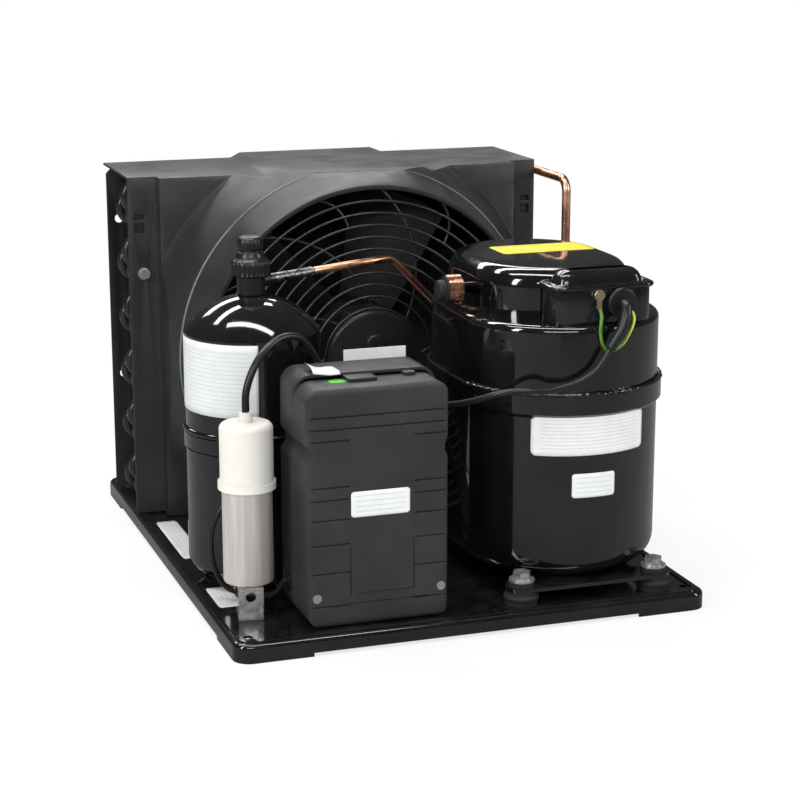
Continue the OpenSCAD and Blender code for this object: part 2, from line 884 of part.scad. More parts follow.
module foot_screws() {
  color([0.75, 0.75, 0.78])
  for (out = [-1, 1])
    translate([foot_mid_x(out), foot_screw_y(), deck_z + foot_t]) {
      flange_head(foot_screw_af, foot_screw_h, foot_screw_flange_r, screw_flange_h);
      translate([0, 0, -foot_screw_l]) cylinder(r = foot_screw_r, h = foot_screw_l);
    }
}

// Outline of the shroud's casing, inset all round, with the raised middle of its top
module casing_outline(inset) {
  half = shroud_w / 2 - flange_w - inset;
  low = deck_z + gap + inset;
  top = shroud_top - inset;
  ramp = 2 * raised_h;
  polygon([
    [shroud_x - half, low],
    [shroud_x + half, low],
    [shroud_x + half, top],
    [fan_x + raised_w / 2 - inset, top],
    [fan_x + raised_w / 2 - ramp - inset, top + raised_h],
    [fan_x - raised_w / 2 + ramp + inset, top + raised_h],
    [fan_x - raised_w / 2 + inset, top],
    [shroud_x - half, top]]);
}

// Cone about the fan's axis, from one depth to the next
module fan_cone(y0, r0, y1, r1) {
  translate([fan_x, y0, fan_z]) rotate([-90, 0, 0]) cylinder(r1 = r0, r2 = r1, h = y1 - y0);
}

// Collar, bell and corner panels as one solid form, offset inwards
module shroud_form(inset, back_y) {
  front = collar_front_y + inset;
  edge = collar_front_y + collar_d + inset;
  panel = panel_y + inset;
  intersection() {
    union() {
      fan_cone(front, fan_open_r + 2 * shroud_t - inset, edge, collar_r - inset);
      fan_cone(edge, collar_r - inset, panel, bell_r - inset);
      translate([shroud_x - shroud_w / 2, panel, 0])
        cube([shroud_w, back_y - panel, shroud_top + 2 * raised_h]);
    }
    translate([0, back_y, 0])
      rotate([90, 0, 0])
        linear_extrude(height = back_y - collar_front_y + over) casing_outline(inset);
  }
}

module top_outline() {
  half = shroud_w / 2;
  ramp = 2 * raised_h;
  polygon([
    [shroud_x - half, shroud_top - shroud_t],
    [shroud_x + half, shroud_top - shroud_t],
    [shroud_x + half, shroud_top],
    [fan_x + raised_w / 2, shroud_top],
    [fan_x + raised_w / 2 - ramp, shroud_top + raised_h],
    [fan_x - raised_w / 2 + ramp, shroud_top + raised_h],
    [fan_x - raised_w / 2, shroud_top],
    [shroud_x - half, shroud_top]]);
}

module fan_shroud() {
  color(black)
  difference() {
    union() {
      shroud_form(0, shroud_y + shroud_t);
      for (s = [-1, 1])
        translate([shroud_x + s * (shroud_w / 2 - flange_w / 2 - shroud_t / 2), shroud_y + shroud_t / 2,
          deck_z + flange_lift + (shroud_h - flange_lift) / 2])
          cube([flange_w + shroud_t, shroud_t, shroud_h - flange_lift], center = true);
      translate([0, shroud_back_y, 0])
        rotate([90, 0, 0]) linear_extrude(height = shroud_d) top_outline();
    }
    shroud_form(shroud_t, shroud_back_y + over);
    // Fan opening
    translate([fan_x, collar_front_y - over, fan_z])
      rotate([-90, 0, 0]) cylinder(r = fan_open_r, h = shroud_t + 2 * over);
    for (s = [-1, 1])
      translate([shroud_x + s * (shroud_w / 2 - flange_w / 2 + slot_shift), shroud_y, 0]) {
        translate([0, 0, shroud_top - hole_drop])
          cube([hole_side, 2 * shroud_t + over, hole_side], center = true);
        translate([0, 0, shroud_top - slot_drop])
          cube([hole_side, 2 * shroud_t + over, slot_side], center = true);
      }
    for (s = [-1, 1])
      translate([shroud_x + s * (shroud_w / 2 - flange_w / 2), shroud_y - over, screw_z()])
        rotate([-90, 0, 0]) cylinder(r = flange_screw_r + fit, h = shroud_t + 2 * over);
  }
}

module shroud_screws() {
  color(zinc)
  for (s = [-1, 1])
    translate([shroud_x + s * (shroud_w / 2 - flange_w / 2), shroud_y, screw_z()])
      rotate([90, 0, 0]) {
        flange_head(screw_af, screw_head_h, screw_flange_r, screw_flange_h);
        translate([0, 0, -screw_l]) cylinder(r = flange_screw_r, h = screw_l);
      }
}

module guard_ring(r) {
  translate([fan_x, guard_y, fan_z])
    rotate([90, 0, 0]) rotate_extrude() translate([r, 0]) circle(r = guard_wire_r);
}

// Spoke bent along an arc from an inner radius to an outer one, turned through a sweep
module guard_spoke(turn, r0, r1, sweep) {
  a = [r0, 0];
  b = r1 * [cos(sweep), sin(sweep)];
  mid = (a + b) / 2;
  chord = norm(b - a);
  arc_r = chord * spoke_arc_share;
  rise = sqrt(arc_r * arc_r - chord * chord / 4);
  dir = (b - a) / chord;
  centre = mid + rise * [-dir[1], dir[0]];
  from = atan2(a[1] - centre[1], a[0] - centre[0]);
  span = 2 * asin(chord / 2 / arc_r);
  translate([fan_x, guard_y + 2 * guard_wire_r + fit, fan_z])
    rotate([90, 0, 0])
      rotate([0, 0, turn])
        translate([centre[0], centre[1], 0])
          rotate([0, 0, from])
            rotate_extrude(angle = span) translate([arc_r, 0]) circle(r = guard_wire_r);
}

module fan_guard() {
  outer_r = guard_outer_r;
  color([0.04, 0.04, 0.045]) {
    for (i = [0 : guard_rings])
      guard_ring(guard_core_r + i * ring_pitch);
    for (k = [0 : guard_spokes - 1]) {
      guard_spoke(k * 360 / guard_spokes, guard_core_r, outer_r, spoke_sweep_deg);
      guard_spoke((k + 0.5) * 360 / guard_spokes + spoke_sweep_deg - short_sweep_deg,
        outer_r - 3 * ring_pitch, outer_r, short_sweep_deg);
    }
  }
}

// Motor body along the air flow, with a rounded front rim and a stepped back
module fan_motor() {
  color(black)
  translate([fan_x, motor_back_y, fan_z])
    rotate([90, 0, 0])
      difference() {
        rotate_extrude() round_top_profile(fan_motor_r, fan_motor_l, motor_edge_r);
        difference() {
          translate([0, 0, -over])
            cylinder(r = fan_motor_r + over, h = motor_step_l + over);
          translate([0, 0, -2 * over])
            cylinder(r = fan_motor_r - motor_step, h = motor_step_l + 3 * over);
        }
        translate([0, 0, -over]) cylinder(r = fan_shaft_r + fit, h = shaft_seat + over);
      }
}

module fan_motor_boss() {
  color(black)
  translate([fan_x, motor_front_y - gap, fan_z + boss_rise])
    rotate([90, 0, 0])
      difference() {
        rotate_extrude() round_top_profile(boss_r, boss_h, boss_edge);
        translate([0, 0, boss_h - boss_edge])
          cylinder(r = boss_r / 3, h = boss_edge + over);
      }
}

module fan_shaft() {
  color([0.7, 0.7, 0.72])
  translate([fan_x, motor_back_y - shaft_seat + over, fan_z])
    rotate([-90, 0, 0])
      cylinder(r = fan_shaft_r, h = shaft_seat - over + hub_y - motor_back_y + hub_l);
}

// One cambered blade, pitched about its own radius and cut to the hub and tip circles
module fan_blade() {
  intersection() {
    translate([0, hub_l / 2, 0])
      rotate([blade_pitch_deg, 0, 0])
        intersection() {
          translate([0, 0, -blade_camber_r])
            translate([hub_r - hub_wall, 0, 0])
              rotate([0, 90, 0])
                difference() {
                  cylinder(r = blade_camber_r + blade_t, h = blade_tip_r, $fn = 128);
                  translate([0, 0, -over])
                    cylinder(r = blade_camber_r, h = blade_tip_r + 2 * over, $fn = 128);
                }
          translate([0, 0, -blade_chord / 2])
            linear_extrude(height = blade_chord)
              polygon([
                [hub_r - hub_wall, -blade_root / 2],
                [blade_tip_r, -blade_chord / 2],
                [blade_tip_r, blade_chord / 2],
                [hub_r - hub_wall, blade_root / 2]]);
        }
    rotate([-90, 0, 0])
      translate([0, 0, -blade_chord])
        difference() {
          cylinder(r = blade_tip_r, h = 3 * blade_chord);
          translate([0, 0, -over])
            cylinder(r = hub_r - hub_wall / 2, h = 3 * blade_chord + 2 * over);
        }
  }
}

module fan_impeller() {
  color([0.07, 0.07, 0.075])
  translate([fan_x, hub_y, fan_z])
    union() {
      rotate([-90, 0, 0])
        difference() {
          cylinder(r = hub_r, h = hub_l);
          translate([0, 0, hub_wall])
            difference() {
              cylinder(r = hub_r - hub_wall, h = hub_l);
              translate([0, 0, -over])
                cylinder(r = fan_shaft_r + hub_wall, h = hub_l + over);
            }
          translate([0, 0, -over]) cylinder(r = fan_shaft_r + fit, h = hub_l + 2 * over);
        }
      for (k = [0 : blade_count - 1])
        rotate([0, k * 360 / blade_count, 0]) fan_blade();
    }
}

// Receiver: two drawn cups, the upper one pushed into the lower one's flared rim
module receiver_lower_shell() {
  rim = deck_z + receiver_band_h - recv_z;
  color(shell_black)
  translate([recv_x, recv_y, recv_z])
    rotate_extrude()
      difference() {
        union() {
          round_bottom_profile(receiver_r, rim, recv_bottom_r);
          translate([0, rim - band_h])
            polygon([[0, -band_step], [receiver_r, -band_step], [receiver_r + band_step, 0],
              [receiver_r + band_step, band_h], [0, band_h]]);
        }
        translate([0, receiver_t])
          round_bottom_profile(receiver_r - receiver_t, rim, recv_bottom_r - receiver_t);
        translate([0, rim - band_h]) square([receiver_r + fit, band_h + over]);
      }
}

// Half profile with a shallow dome on top, the dome being part of a large circle
module domed_profile(r, base, rise) {
  big = (r * r + rise * rise) / (2 * rise);
  middle = base + rise - big;
  union() {
    square([r, middle]);
    translate([0, middle])
      intersection() {
        circle(r = big, $fn = 180);
        square([r, big + over]);
      }
  }
}

module receiver_upper_shell() {
  base = deck_z + receiver_band_h - band_h + gap;
  wall_h = deck_z + receiver_shoulder_h - base;
  color(shell_black)
  translate([recv_x, recv_y, base])
    rotate_extrude()
      difference() {
        union() {
          domed_profile(receiver_r, wall_h, recv_dome_h);
          // Weld bead on the lower shell's rim
          translate([receiver_r, band_h + weld_r]) circle(r = weld_r);
        }
        translate([0, -over])
          domed_profile(receiver_r - receiver_t, wall_h + over, recv_dome_h - receiver_t);
        translate([0, wall_h]) square([valve_r - valve_wall + fit, recv_dome_h + over]);
      }
}

module receiver_foot() {
  color([0.04, 0.04, 0.045])
  translate([recv_x, recv_y, deck_z])
    rotate_extrude()
      difference() {
        union() {
          square([receiver_r - recv_foot_in, recv_foot_t]);
          square([receiver_r - recv_foot_in - recv_foot_lip, recv_lift - gap]);
        }
        translate([0, -over]) square([receiver_r / 2, recv_lift + 2 * over]);
      }
}

// Valve: stem, barrel with a side port, and the spindle under a screwed cap
module service_valve_body() {
  color([0.09, 0.09, 0.1])
  translate([recv_x, recv_y, valve_z])
    difference() {
      union() {
        translate([0, 0, -valve_root])
          cylinder(r = valve_r - valve_wall, h = valve_root + over);
        cylinder(r = valve_r, h = valve_neck_h);
        cylinder(r = valve_neck_r, h = valve_h);
        rotate([0, 0, port_turn_deg])
          translate([0, 0, port_rise]) rotate([0, 90, 0]) cylinder(r = port_r, h = port_l);
      }
      translate([0, 0, port_rise]) cylinder(r = spindle_r + fit, h = valve_h);
      rotate([0, 0, port_turn_deg])
        translate([port_l - port_seat, 0, port_rise])
          rotate([0, 90, 0]) cylinder(r = steel_stub_r + fit, h = port_seat + over);
    }
}

module valve_spindle() {
  reach = valve_h - port_rise + spindle_out;
  color([0.75, 0.75, 0.76])
  translate([recv_x, recv_y, port_z + gap])
    union() {
      cylinder(r = spindle_r, h = reach);
      translate([-spindle_flat / 2, -spindle_flat / 2, reach])
        cube([spindle_flat, spindle_flat, spindle_out / 2]);
    }
}

module valve_cap() {
  whole = cap_knurl_h + cap_cone_h + cap_knob_h;
  color([0.02, 0.02, 0.022])
  translate([recv_x, recv_y, valve_z + cap_lift])
    difference() {
      union() {
        cylinder(r = cap_r, h = cap_knurl_h);
        for (k = [0 : cap_ribs - 1])
          rotate([0, 0, k * 360 / cap_ribs])
            translate([cap_r, 0, 0]) cylinder(r = cap_rib_r, h = cap_knurl_h, $fn = 16);
        translate([0, 0, cap_knurl_h])
          cylinder(r1 = cap_r - cap_rib_r, r2 = cap_neck_r - cap_rib_r, h = cap_cone_h);
        translate([0, 0, cap_knurl_h + cap_cone_h])
          rotate_extrude() round_top_profile(cap_neck_r, cap_knob_h, cap_edge);
      }
      translate([0, 0, -over])
        cylinder(r = valve_neck_r + fit, h = whole - cap_wall + over);
    }
}

// Pipes
module valve_outlet_stub() {
  color([0.62, 0.62, 0.64])
  translate(port_at)
    rotate([0, 0, port_turn_deg])
      translate([port_l - port_seat + gap, 0, 0])
        rotate([0, 90, 0])
          difference() {
            cylinder(r = steel_stub_r, h = steel_stub_l);
            translate([0, 0, steel_stub_l - stub_seat])
              cylinder(r = liquid_r + fit, h = stub_seat + over);
          }
}

module liquid_line() {
  color(copper)
  swept_tube(bent_path(liquid_route, liquid_bend_r, bend_steps), liquid_r, pipe_sides, [0, 0, 1]);
}

module discharge_line() {
  color(copper)
  bent_pipe(discharge_route, discharge_bend_r, discharge_r);
}

// Compressor
module compressor_foot_plate() {
  color([0.04, 0.04, 0.045])
  translate([comp_x, comp_y, plate_z])
    linear_extrude(height = plate_t)
      difference() {
        union() {
          for (s = [-1, 1])
            translate([0, s * foot_span_y / 2])
              rounded_rect(foot_span_x + 2 * plate_lug, 2 * plate_lug, plate_lug - over);
          square([plate_waist, foot_span_y], center = true);
        }
        for (x = [-1, 1])
          for (y = [-1, 1])
            translate([x * foot_span_x / 2, y * foot_span_y / 2])
              circle(r = grommet_collar_r - grommet_neck);
      }
}

module foot_grommets() {
  neck_r = grommet_collar_r - grommet_neck - fit;
  collar_z = grommet_h + plate_t + fit;
  color(rubber)
  for (p = foot_places())
    translate([p[0], p[1], deck_z])
      rotate_extrude()
        difference() {
          union() {
            square([grommet_r - grommet_bulge / 2, grommet_h - fit]);
            square([neck_r, sleeve_h]);
            translate([0, collar_z]) square([grommet_collar_r, sleeve_h - collar_z]);
            translate([grommet_r - grommet_bulge, grommet_h / 2]) circle(r = grommet_bulge);
          }
          translate([0, -over])
            square([foot_bolt_r + sleeve_wall + 2 * fit, sleeve_h + 2 * over]);
        }
}

module foot_ring(z, r, h) {
  for (p = foot_places())
    translate([p[0], p[1], z])
      difference() {
        cylinder(r = r, h = h);
        translate([0, 0, -over]) cylinder(r = foot_bolt_r + fit, h = h + 2 * over);
      }
}

module foot_sleeves() {
  color([0.75, 0.75, 0.77])
  foot_ring(deck_z, foot_bolt_r + sleeve_wall, sleeve_h);
}

module foot_washers() {
  color([0.78, 0.78, 0.8])
  foot_ring(deck_z + sleeve_h, washer_r, washer_t);
}

module foot_bolts() {
  color([0.78, 0.78, 0.8])
  for (p = foot_places())
    translate([p[0], p[1], deck_z + sleeve_h + washer_t]) {
      flange_head(bolt_head_af, bolt_head_h, bolt_head_af / 2 + sleeve_wall, sleeve_wall);
      translate([0, 0, -bolt_l]) cylinder(r = foot_bolt_r, h = bolt_l);
    }
}

module compressor_lower_shell() {
  rim = deck_z + rim_h - shell_z;
  color([0.02, 0.02, 0.022])
  translate([comp_x, comp_y, shell_z])
    difference() {
      oval_solid(shell_run)
        difference() {
          union() {
            round_bottom_profile(shell_r, rim, bottom_r);
            translate([0, rim - joggle_h])
              polygon([[0, -joggle], [shell_r, -joggle], [shell_r + joggle, 0],
                [shell_r + joggle, joggle_h], [0, joggle_h]]);
          }
          translate([0, shell_t])
            round_bottom_profile(shell_r - shell_t, rim, bottom_r - shell_t);
          translate([0, rim - joggle_h]) square([shell_r + fit, joggle_h + over]);
        }
      // Hole that the discharge pipe enters by
      translate([0, discharge_in_y - comp_y, discharge_in_z - shell_z])
        rotate([0, 90, 0]) cylinder(r = discharge_r + fit, h = shell_r + joggle + over);
    }
}

// Room for the terminal housing in front of the lid, grown all round
module terminal_room(grow) {
  side = gap + grow;
  translate([term_x - term_w / 2 - side, comp_y - 2 * shell_r, deck_z + shoulder_h - grow])
    cube([term_w + 2 * side, term_y + term_d / 2 + side - comp_y + 2 * shell_r, lid_top_h]);
}

module compressor_upper_shell() {
  wall_h = deck_z + shoulder_h - upper_z;
  lid_h = lid_top_h - shoulder_h;
  color([0.02, 0.02, 0.022])
  difference() {
    translate([comp_x, comp_y, upper_z])
      union() {
        oval_solid(shell_run)
          round_top_profile(shell_r, wall_h, shoulder_r);
        translate([0, lid_shift_y, wall_h - shoulder_r])
          oval_solid(lid_run)
            round_top_profile(shell_r - lid_inset, lid_h + shoulder_r, lid_edge_r);
      }
    translate([comp_x, comp_y, upper_z - over])
      oval_solid(shell_run)
        round_top_profile(shell_r - shell_t, wall_h - shell_t + over, shoulder_r - shell_t);
    difference() {
      translate([comp_x, comp_y + lid_shift_y, upper_z])
        oval_solid(lid_run)
          round_top_profile(shell_r - lid_inset - shell_t, wall_h + lid_h - shell_t,
            lid_edge_r - shell_t);
      terminal_room(shell_t);
    }
    terminal_room(0);
    suction_place()
      translate([0, 0, -stub_in]) cylinder(r = stub_tube_r + fit, h = stub_in + over);
  }
}

// Heading of the suction stub, straight out of the lid's left side
module suction_place() {
  translate([lid_side_x, suction_y, suction_z]) rotate([0, -90, 0]) children();
}

module suction_stub() {
  color(copper)
  suction_place()
    difference() {
      union() {
        translate([0, 0, -stub_in / 2])
          cylinder(r = stub_tube_r, h = stub_in / 2 + stub_tube_l + over);
        translate([0, 0, stub_tube_l]) cylinder(r = stub_bell_r, h = stub_bell_l);
      }
      translate([0, 0, -stub_in])
        cylinder(r = stub_tube_r - stub_wall, h = 2 * stub_in + stub_tube_l);
      translate([0, 0, stub_tube_l + stub_wall])
        cylinder(r = stub_bell_r - stub_wall, h = stub_bell_l);
    }
}

module suction_plug() {
  color(rubber)
  suction_place()
    translate([0, 0, stub_tube_l + 2 * stub_wall])
      rotate_extrude()
        union() {
          square([stub_bell_r - stub_wall - fit, stub_bell_l - stub_wall]);
          round_top_profile(plug_r, plug_l, plug_edge);
        }
}

// Motor and pump hung inside the shell
module motor_stator() {
  color([0.35, 0.34, 0.34])
  translate([comp_x, comp_y, stator_z()])
    union() {
      rotate_extrude()
        difference() {
          union() {
            square([stator_r, stator_h]);
            translate([0, -winding_h]) square([winding_r, stator_h + 2 * winding_h]);
          }
          translate([0, -winding_h - over])
            square([rotor_r + air_gap, stator_h + 2 * winding_h + 2 * over]);
        }
      // Posts that stand on the shell's floor
      for (k = [0 : 3])
        rotate([0, 0, 45 + k * 90])
          translate([winding_r + post_r + gap, 0, gap - stator_lift])
            cylinder(r = post_r, h = stator_lift - gap + over);
    }
}

module motor_rotor() {
  color([0.6, 0.6, 0.62])
  translate([comp_x, comp_y, stator_z()])
    difference() {
      cylinder(r = rotor_r, h = stator_h);
      translate([0, 0, -over]) cylinder(r = crank_r + fit, h = stator_h + 2 * over);
    }
}

function stator_z() = shell_z + shell_t + stator_lift;
function block_z() = stator_z() + stator_h + winding_h + gap;
function bore_z() = block_z() + block_h + gap + crank_web_t + crank_pin_l / 2;

module crankshaft() {
  low = stator_z() - winding_h;
  top = block_z() + block_h + gap;
  color([0.6, 0.6, 0.62])
  translate([comp_x, comp_y, low])
    union() {
      cylinder(r = crank_r, h = top - low + over);
      translate([0, 0, top - low]) cylinder(r = crank_web_r, h = crank_web_t);
      translate([crank_throw, 0, top - low])
        cylinder(r = crank_pin_r, h = crank_web_t + crank_pin_l);
    }
}

module cylinder_block() {
  color([0.4, 0.4, 0.42])
  translate([comp_x, comp_y, block_z()])
    difference() {
      union() {
        cylinder(r = stator_r, h = block_h);
        translate([-bore_wall_r, -stator_r, block_h - over])
          cube([2 * bore_wall_r, bore_l, bore_z() - block_z() - block_h + bore_wall_r + over]);
      }
      translate([0, 0, -over]) cylinder(r = crank_r + fit, h = block_h + 2 * over);
      translate([0, -stator_r + bore_head, bore_z() - block_z()])
        rotate([-90, 0, 0]) cylinder(r = bore_r, h = bore_l);
    }
}

module piston() {
  color([0.65, 0.65, 0.66])
  translate([comp_x, comp_y - stator_r + bore_head + piston_clear, bore_z()])
    rotate([-90, 0, 0])
      difference() {
        cylinder(r = bore_r - fit, h = piston_l);
        translate([0, 0, piston_l / 2]) cylinder(r = bore_r / 2, h = piston_l);
      }
}

// Terminal housing on the front of the upper shell
module terminal_frame() {
  color([0.03, 0.03, 0.032])
  translate([term_x, term_y, term_z])
    difference() {
      rounded_plate(term_w, term_d, term_base_h, term_r);
      translate([0, 0, term_t])
        rounded_plate(term_w - 2 * term_t, term_d - 2 * term_t, term_base_h, term_r - term_t);
      translate([gland_x - term_x, -term_d / 2 - over, gland_up])
        rotate([-90, 0, 0]) cylinder(r = gland_neck_r + fit, h = term_t + 2 * over);
      translate([earth_x - term_x, -term_d / 2 - over, earth_up])
        rotate([-90, 0, 0]) cylinder(r = earth_r + fit, h = term_t + 2 * over);
    }
}

// Lid pushed into the frame, with a raised middle
module terminal_cover() {
  w = term_w - 2 * (term_t + gap);
  d = term_d - 2 * (term_t + gap);
  color([0.03, 0.03, 0.032])
  translate([term_x, term_y, term_z + term_base_h - term_lap])
    difference() {
      union() {
        rounded_plate(w, d, term_lap, term_r - term_t - gap);
        hull() {
          translate([0, 0, term_lap - over])
            rounded_plate(w - 2 * term_t, d - 2 * term_t, over, term_r - 2 * term_t);
          translate([0, 0, term_lap + term_cap_h - over])
            rounded_plate(w - 6 * term_t, d - 6 * term_t, over, term_r - 3 * term_t);
        }
      }
      translate([0, 0, -over])
        rounded_plate(w - 3 * term_t, d - 3 * term_t, term_lap + over, term_r - 2 * term_t);
    }
}

module terminal_gland() {
  color([0.04, 0.04, 0.04])
  translate([gland_x, term_front_y, gland_z])
    rotate([90, 0, 0])
      rotate_extrude()
        difference() {
          union() {
            translate([0, gap]) round_top_profile(gland_r, gland_h, gland_edge);
            translate([0, -term_t - gland_edge])
              square([gland_neck_r, term_t + 2 * gland_edge]);
          }
          translate([0, -term_t - gland_edge - over])
            square([sleeve_cable_r + fit, term_t + gland_h + 3 * gland_edge]);
        }
}

module earth_screw() {
  color([0.8, 0.78, 0.7])
  translate([earth_x, term_front_y, earth_z])
    rotate([90, 0, 0])
      union() {
        translate([0, 0, gap]) {
          cylinder(r = earth_lug_r, h = earth_lug_t);
          translate([-earth_lug_r / 2, -earth_lug_l, 0])
            cube([earth_lug_r, earth_lug_l, earth_lug_t]);
        }
        cylinder(r = earth_af / 2 / cos(30), h = earth_head_h, $fn = 6);
        translate([0, 0, -term_t - over]) cylinder(r = earth_r, h = term_t + 2 * over);
      }
}

// Electrical box
module box_outline(w, h, r) {
  waist = waist_up + waist_h / 2 - h / 2;
  difference() {
    rounded_rect(w, h, r);
    for (s = [-1, 1])
      translate([s * w / 2, waist])
        polygon([[s * over, -waist_h / 2], [s * over, waist_h / 2], [0, waist_h / 2],
          [-s * waist_d, waist_h / 6], [-s * waist_d, -waist_h / 6], [0, -waist_h / 2]]);
  }
}

// Shell of the box between two depths, closed at one end
module box_shell(y0, depth, h, closed_at_front) {
  translate([box_x, y0 + depth, box_z + h / 2])
    rotate([90, 0, 0])
      difference() {
        linear_extrude(height = depth) box_outline(box_w, h, box_r);
        translate([0, 0, closed_at_front ? -over : box_t])
          linear_extrude(height = depth - box_t + over) box_inside(h);
      }
}

// Inside of the box, kept off the waist
module box_inside(h) {
  difference() {
    rounded_rect(box_w - 2 * box_t, h - 2 * box_t, box_r - box_t);
    for (s = [-1, 1])
      translate([s * (box_w / 2 + over / 2 - box_t - waist_d / 2), waist_up + waist_h / 2 - h / 2])
        square([waist_d + over, waist_h + 2 * box_t], center = true);
  }
}

module box_rear_housing() {
  color(grey)
  difference() {
    union() {
      box_shell(seam_y + gap, rear_d, rear_h, false);
      // Bosses for the cover's screws
      for (s = [-1, 1])
        translate([box_x + s * box_screw_x, box_back_y - box_t / 2, box_screw_z])
          rotate([90, 0, 0]) cylinder(r = box_boss_r, h = rear_d - box_t / 2);
      // Tongue and tab that reach over the cover
      translate([tongue_x - tongue_w / 2, seam_y - tongue_l, box_z + box_h + gap])
        cube([tongue_w, tongue_l + box_t, tongue_t]);
      translate([tab_x - tab_w / 2, seam_y - tab_l, box_z + box_h + gap])
        cube([tab_w, tab_l + box_t, tongue_t]);
    }
    for (s = [-1, 1])
      translate([box_x + s * box_screw_x, seam_y, box_screw_z])
        rotate([-90, 0, 0]) cylinder(r = box_screw_r + fit, h = box_screw_l);
    // Cable holes
    at_gland(0)
      gland_hole();
    at_gland(1)
      gland_hole();
    at_gland(2)
      gland_hole();
  }
}

// Block whose front edges are rounded over on all four sides, front up
module front_roll(w, h, d, edge) {
  intersection() {
    translate([0, h / 2, 0])
      rotate([90, 0, 0]) linear_extrude(height = h) rolled_section(w, d, edge);
    translate([-w / 2, 0, 0])
      rotate([90, 0, 90]) linear_extrude(height = w) rolled_section(h, d, edge);
  }
}

module rolled_section(w, d, edge) {
  union() {
    round_top_profile(w / 2, d, edge);
    mirror([1, 0]) round_top_profile(w / 2, d, edge);
  }
}

// V groove along the box's face
module groove(l) {
  rotate([90, 0, 90])
    linear_extrude(height = l)
      polygon([[-over, groove_w], [groove_d, 0], [-over, -groove_w]]);
}

module box_front_cover() {
  color(grey)
  difference() {
    intersection() {
      box_shell(cover_front_y, cover_d, box_h, true);
      translate([box_x, seam_y, box_z + box_h / 2])
        rotate([90, 0, 0]) front_roll(box_w, box_h, cover_d, box_edge_r);
    }
    // Foot cut off the cover, so that it slides out over the deck's bead
    translate([box_x - box_w, cover_front_y - over, box_z - over])
      cube([2 * box_w, cover_d + 2 * over, bead_h + over]);
    // Grooves on both sides of the panels
    for (i = [0 : len(groove_shares) - 1]) {
      left = i < long_grooves ? box_w / 2 : groove_left;
      right = i < long_grooves ? box_w / 2 : groove_right;
      translate([box_x - box_w / 2 - over, cover_front_y, box_z + groove_shares[i] * box_h])
        groove(left + over);
      translate([box_x + box_w / 2 - right, cover_front_y, box_z + groove_shares[i] * box_h])
        groove(right + over);
    }
    for (s = [-1, 1])
      translate([box_x + s * box_screw_x, cover_front_y - over, box_screw_z])
        rotate([-90, 0, 0]) {
          cylinder(r = box_head_r + gap, h = box_head_sink + over);
          cylinder(r = box_screw_r + fit, h = cover_d + 2 * over);
        }
  }
}

module box_screws() {
  reach = cover_d - box_head_sink;
  color(zinc)
  for (s = [-1, 1])
    translate([box_x + s * box_screw_x, cover_front_y + box_head_sink, box_screw_z])
      rotate([90, 0, 0])
        difference() {
          union() {
            cylinder(r = box_head_r, h = box_head_h);
            translate([0, 0, -reach - box_screw_l / 2])
              cylinder(r = box_screw_r, h = reach + box_screw_l / 2 + over);
          }
          translate([0, 0, box_head_h])
            cube([2 * box_head_r + over, over, over], center = true);
        }
}

function inner_back_y() = box_back_y - box_t - gap;

module start_relay() {
  color([0.1, 0.1, 0.1])
  translate([box_x + relay_x, inner_back_y() - relay_d, box_z + relay_up])
    cube([relay_w, relay_d, relay_h]);
}

module start_capacitor() {
  color([0.08, 0.08, 0.08])
  translate([box_x + start_cap_x, inner_back_y() - start_cap_r, box_z + start_cap_up])
    rotate_extrude() round_top_profile(start_cap_r, start_cap_h, cap_edge);
}

module terminal_block() {
  pole = block_w / block_poles;
  color([0.85, 0.85, 0.82])
  translate([box_x - block_w / 2, inner_back_y() - block_d, box_z + block_up])
    difference() {
      cube([block_w, block_d, block_tall]);
      for (k = [0 : block_poles - 1])
        translate([k * pole + pole / 2, -over, block_tall / 2])
          rotate([-90, 0, 0]) cylinder(r = pole / 4, h = block_d / 2);
    }
}

// Rubber ring where a cable of a given radius enters the box
module small_gland(bore) {
  rotate_extrude()
    difference() {
      union() {
        translate([0, gap]) square([small_gland_r + gland_lip, gland_lip]);
        translate([0, -box_t]) square([small_gland_r, box_t + gland_lip]);
      }
      translate([0, -box_t - over]) square([bore + fit, box_t + 2 * gland_lip + 2 * over]);
    }
}

module gland_hole() {
  translate([0, 0, -box_t - over]) cylinder(r = small_gland_r + fit, h = box_t + 2 * over);
}

// Places of the cable holes: fan lead, compressor cable, capacitor cable
module at_gland(i) {
  place = [
    [box_x - box_w / 2, fan_gland_y, fan_gland_z],
    [box_x + box_w / 2, comp_gland_y, comp_gland_z],
    [cap_gland_x, box_back_y, cap_gland_z]][i];
  translate(place) rotate([[0, -90, 0], [0, 90, 0], [-90, 0, 0]][i]) children();
}

module cable_glands() {
  bores = [lead_r, comp_cable_r, cable_r];
  color([0.04, 0.04, 0.04])
  for (i = [0 : 2])
    at_gland(i)
      small_gland(bores[i]);
}

module box_tag() {
  color([0.9, 0.9, 0.88])
  translate([tag_x - tag_w / 2, box_back_y + gap, tag_z]) cube([tag_w, tag_t, tag_h]);
}

// Run capacitor on its bracket
module run_capacitor_can() {
  color([0.8, 0.78, 0.77])
  translate([can_x, can_y, can_z])
    union() {
      rotate_extrude() round_bottom_profile(can_r, can_h, can_edge);
      translate([0, 0, -stud_l]) cylinder(r = stud_r, h = stud_l + over);
    }
}

module run_capacitor_cap() {
  color([0.88, 0.87, 0.82])
  translate([can_x, can_y, can_z + can_h - cap_skirt_h + cap_room])
    rotate_extrude()
      difference() {
        union() {
          round_top_profile(can_r + cap_shell, cap_skirt_h, cap_top_edge);
          square([cap_flange_r, cap_flange_h]);
          translate([0, cap_skirt_h - over]) square([spout_r, spout_h + over]);
        }
        translate([0, -over]) square([can_r + fit, cap_skirt_h - cap_room + fit + over]);
        square([cable_r + fit, cap_skirt_h + spout_h + over]);
      }
}

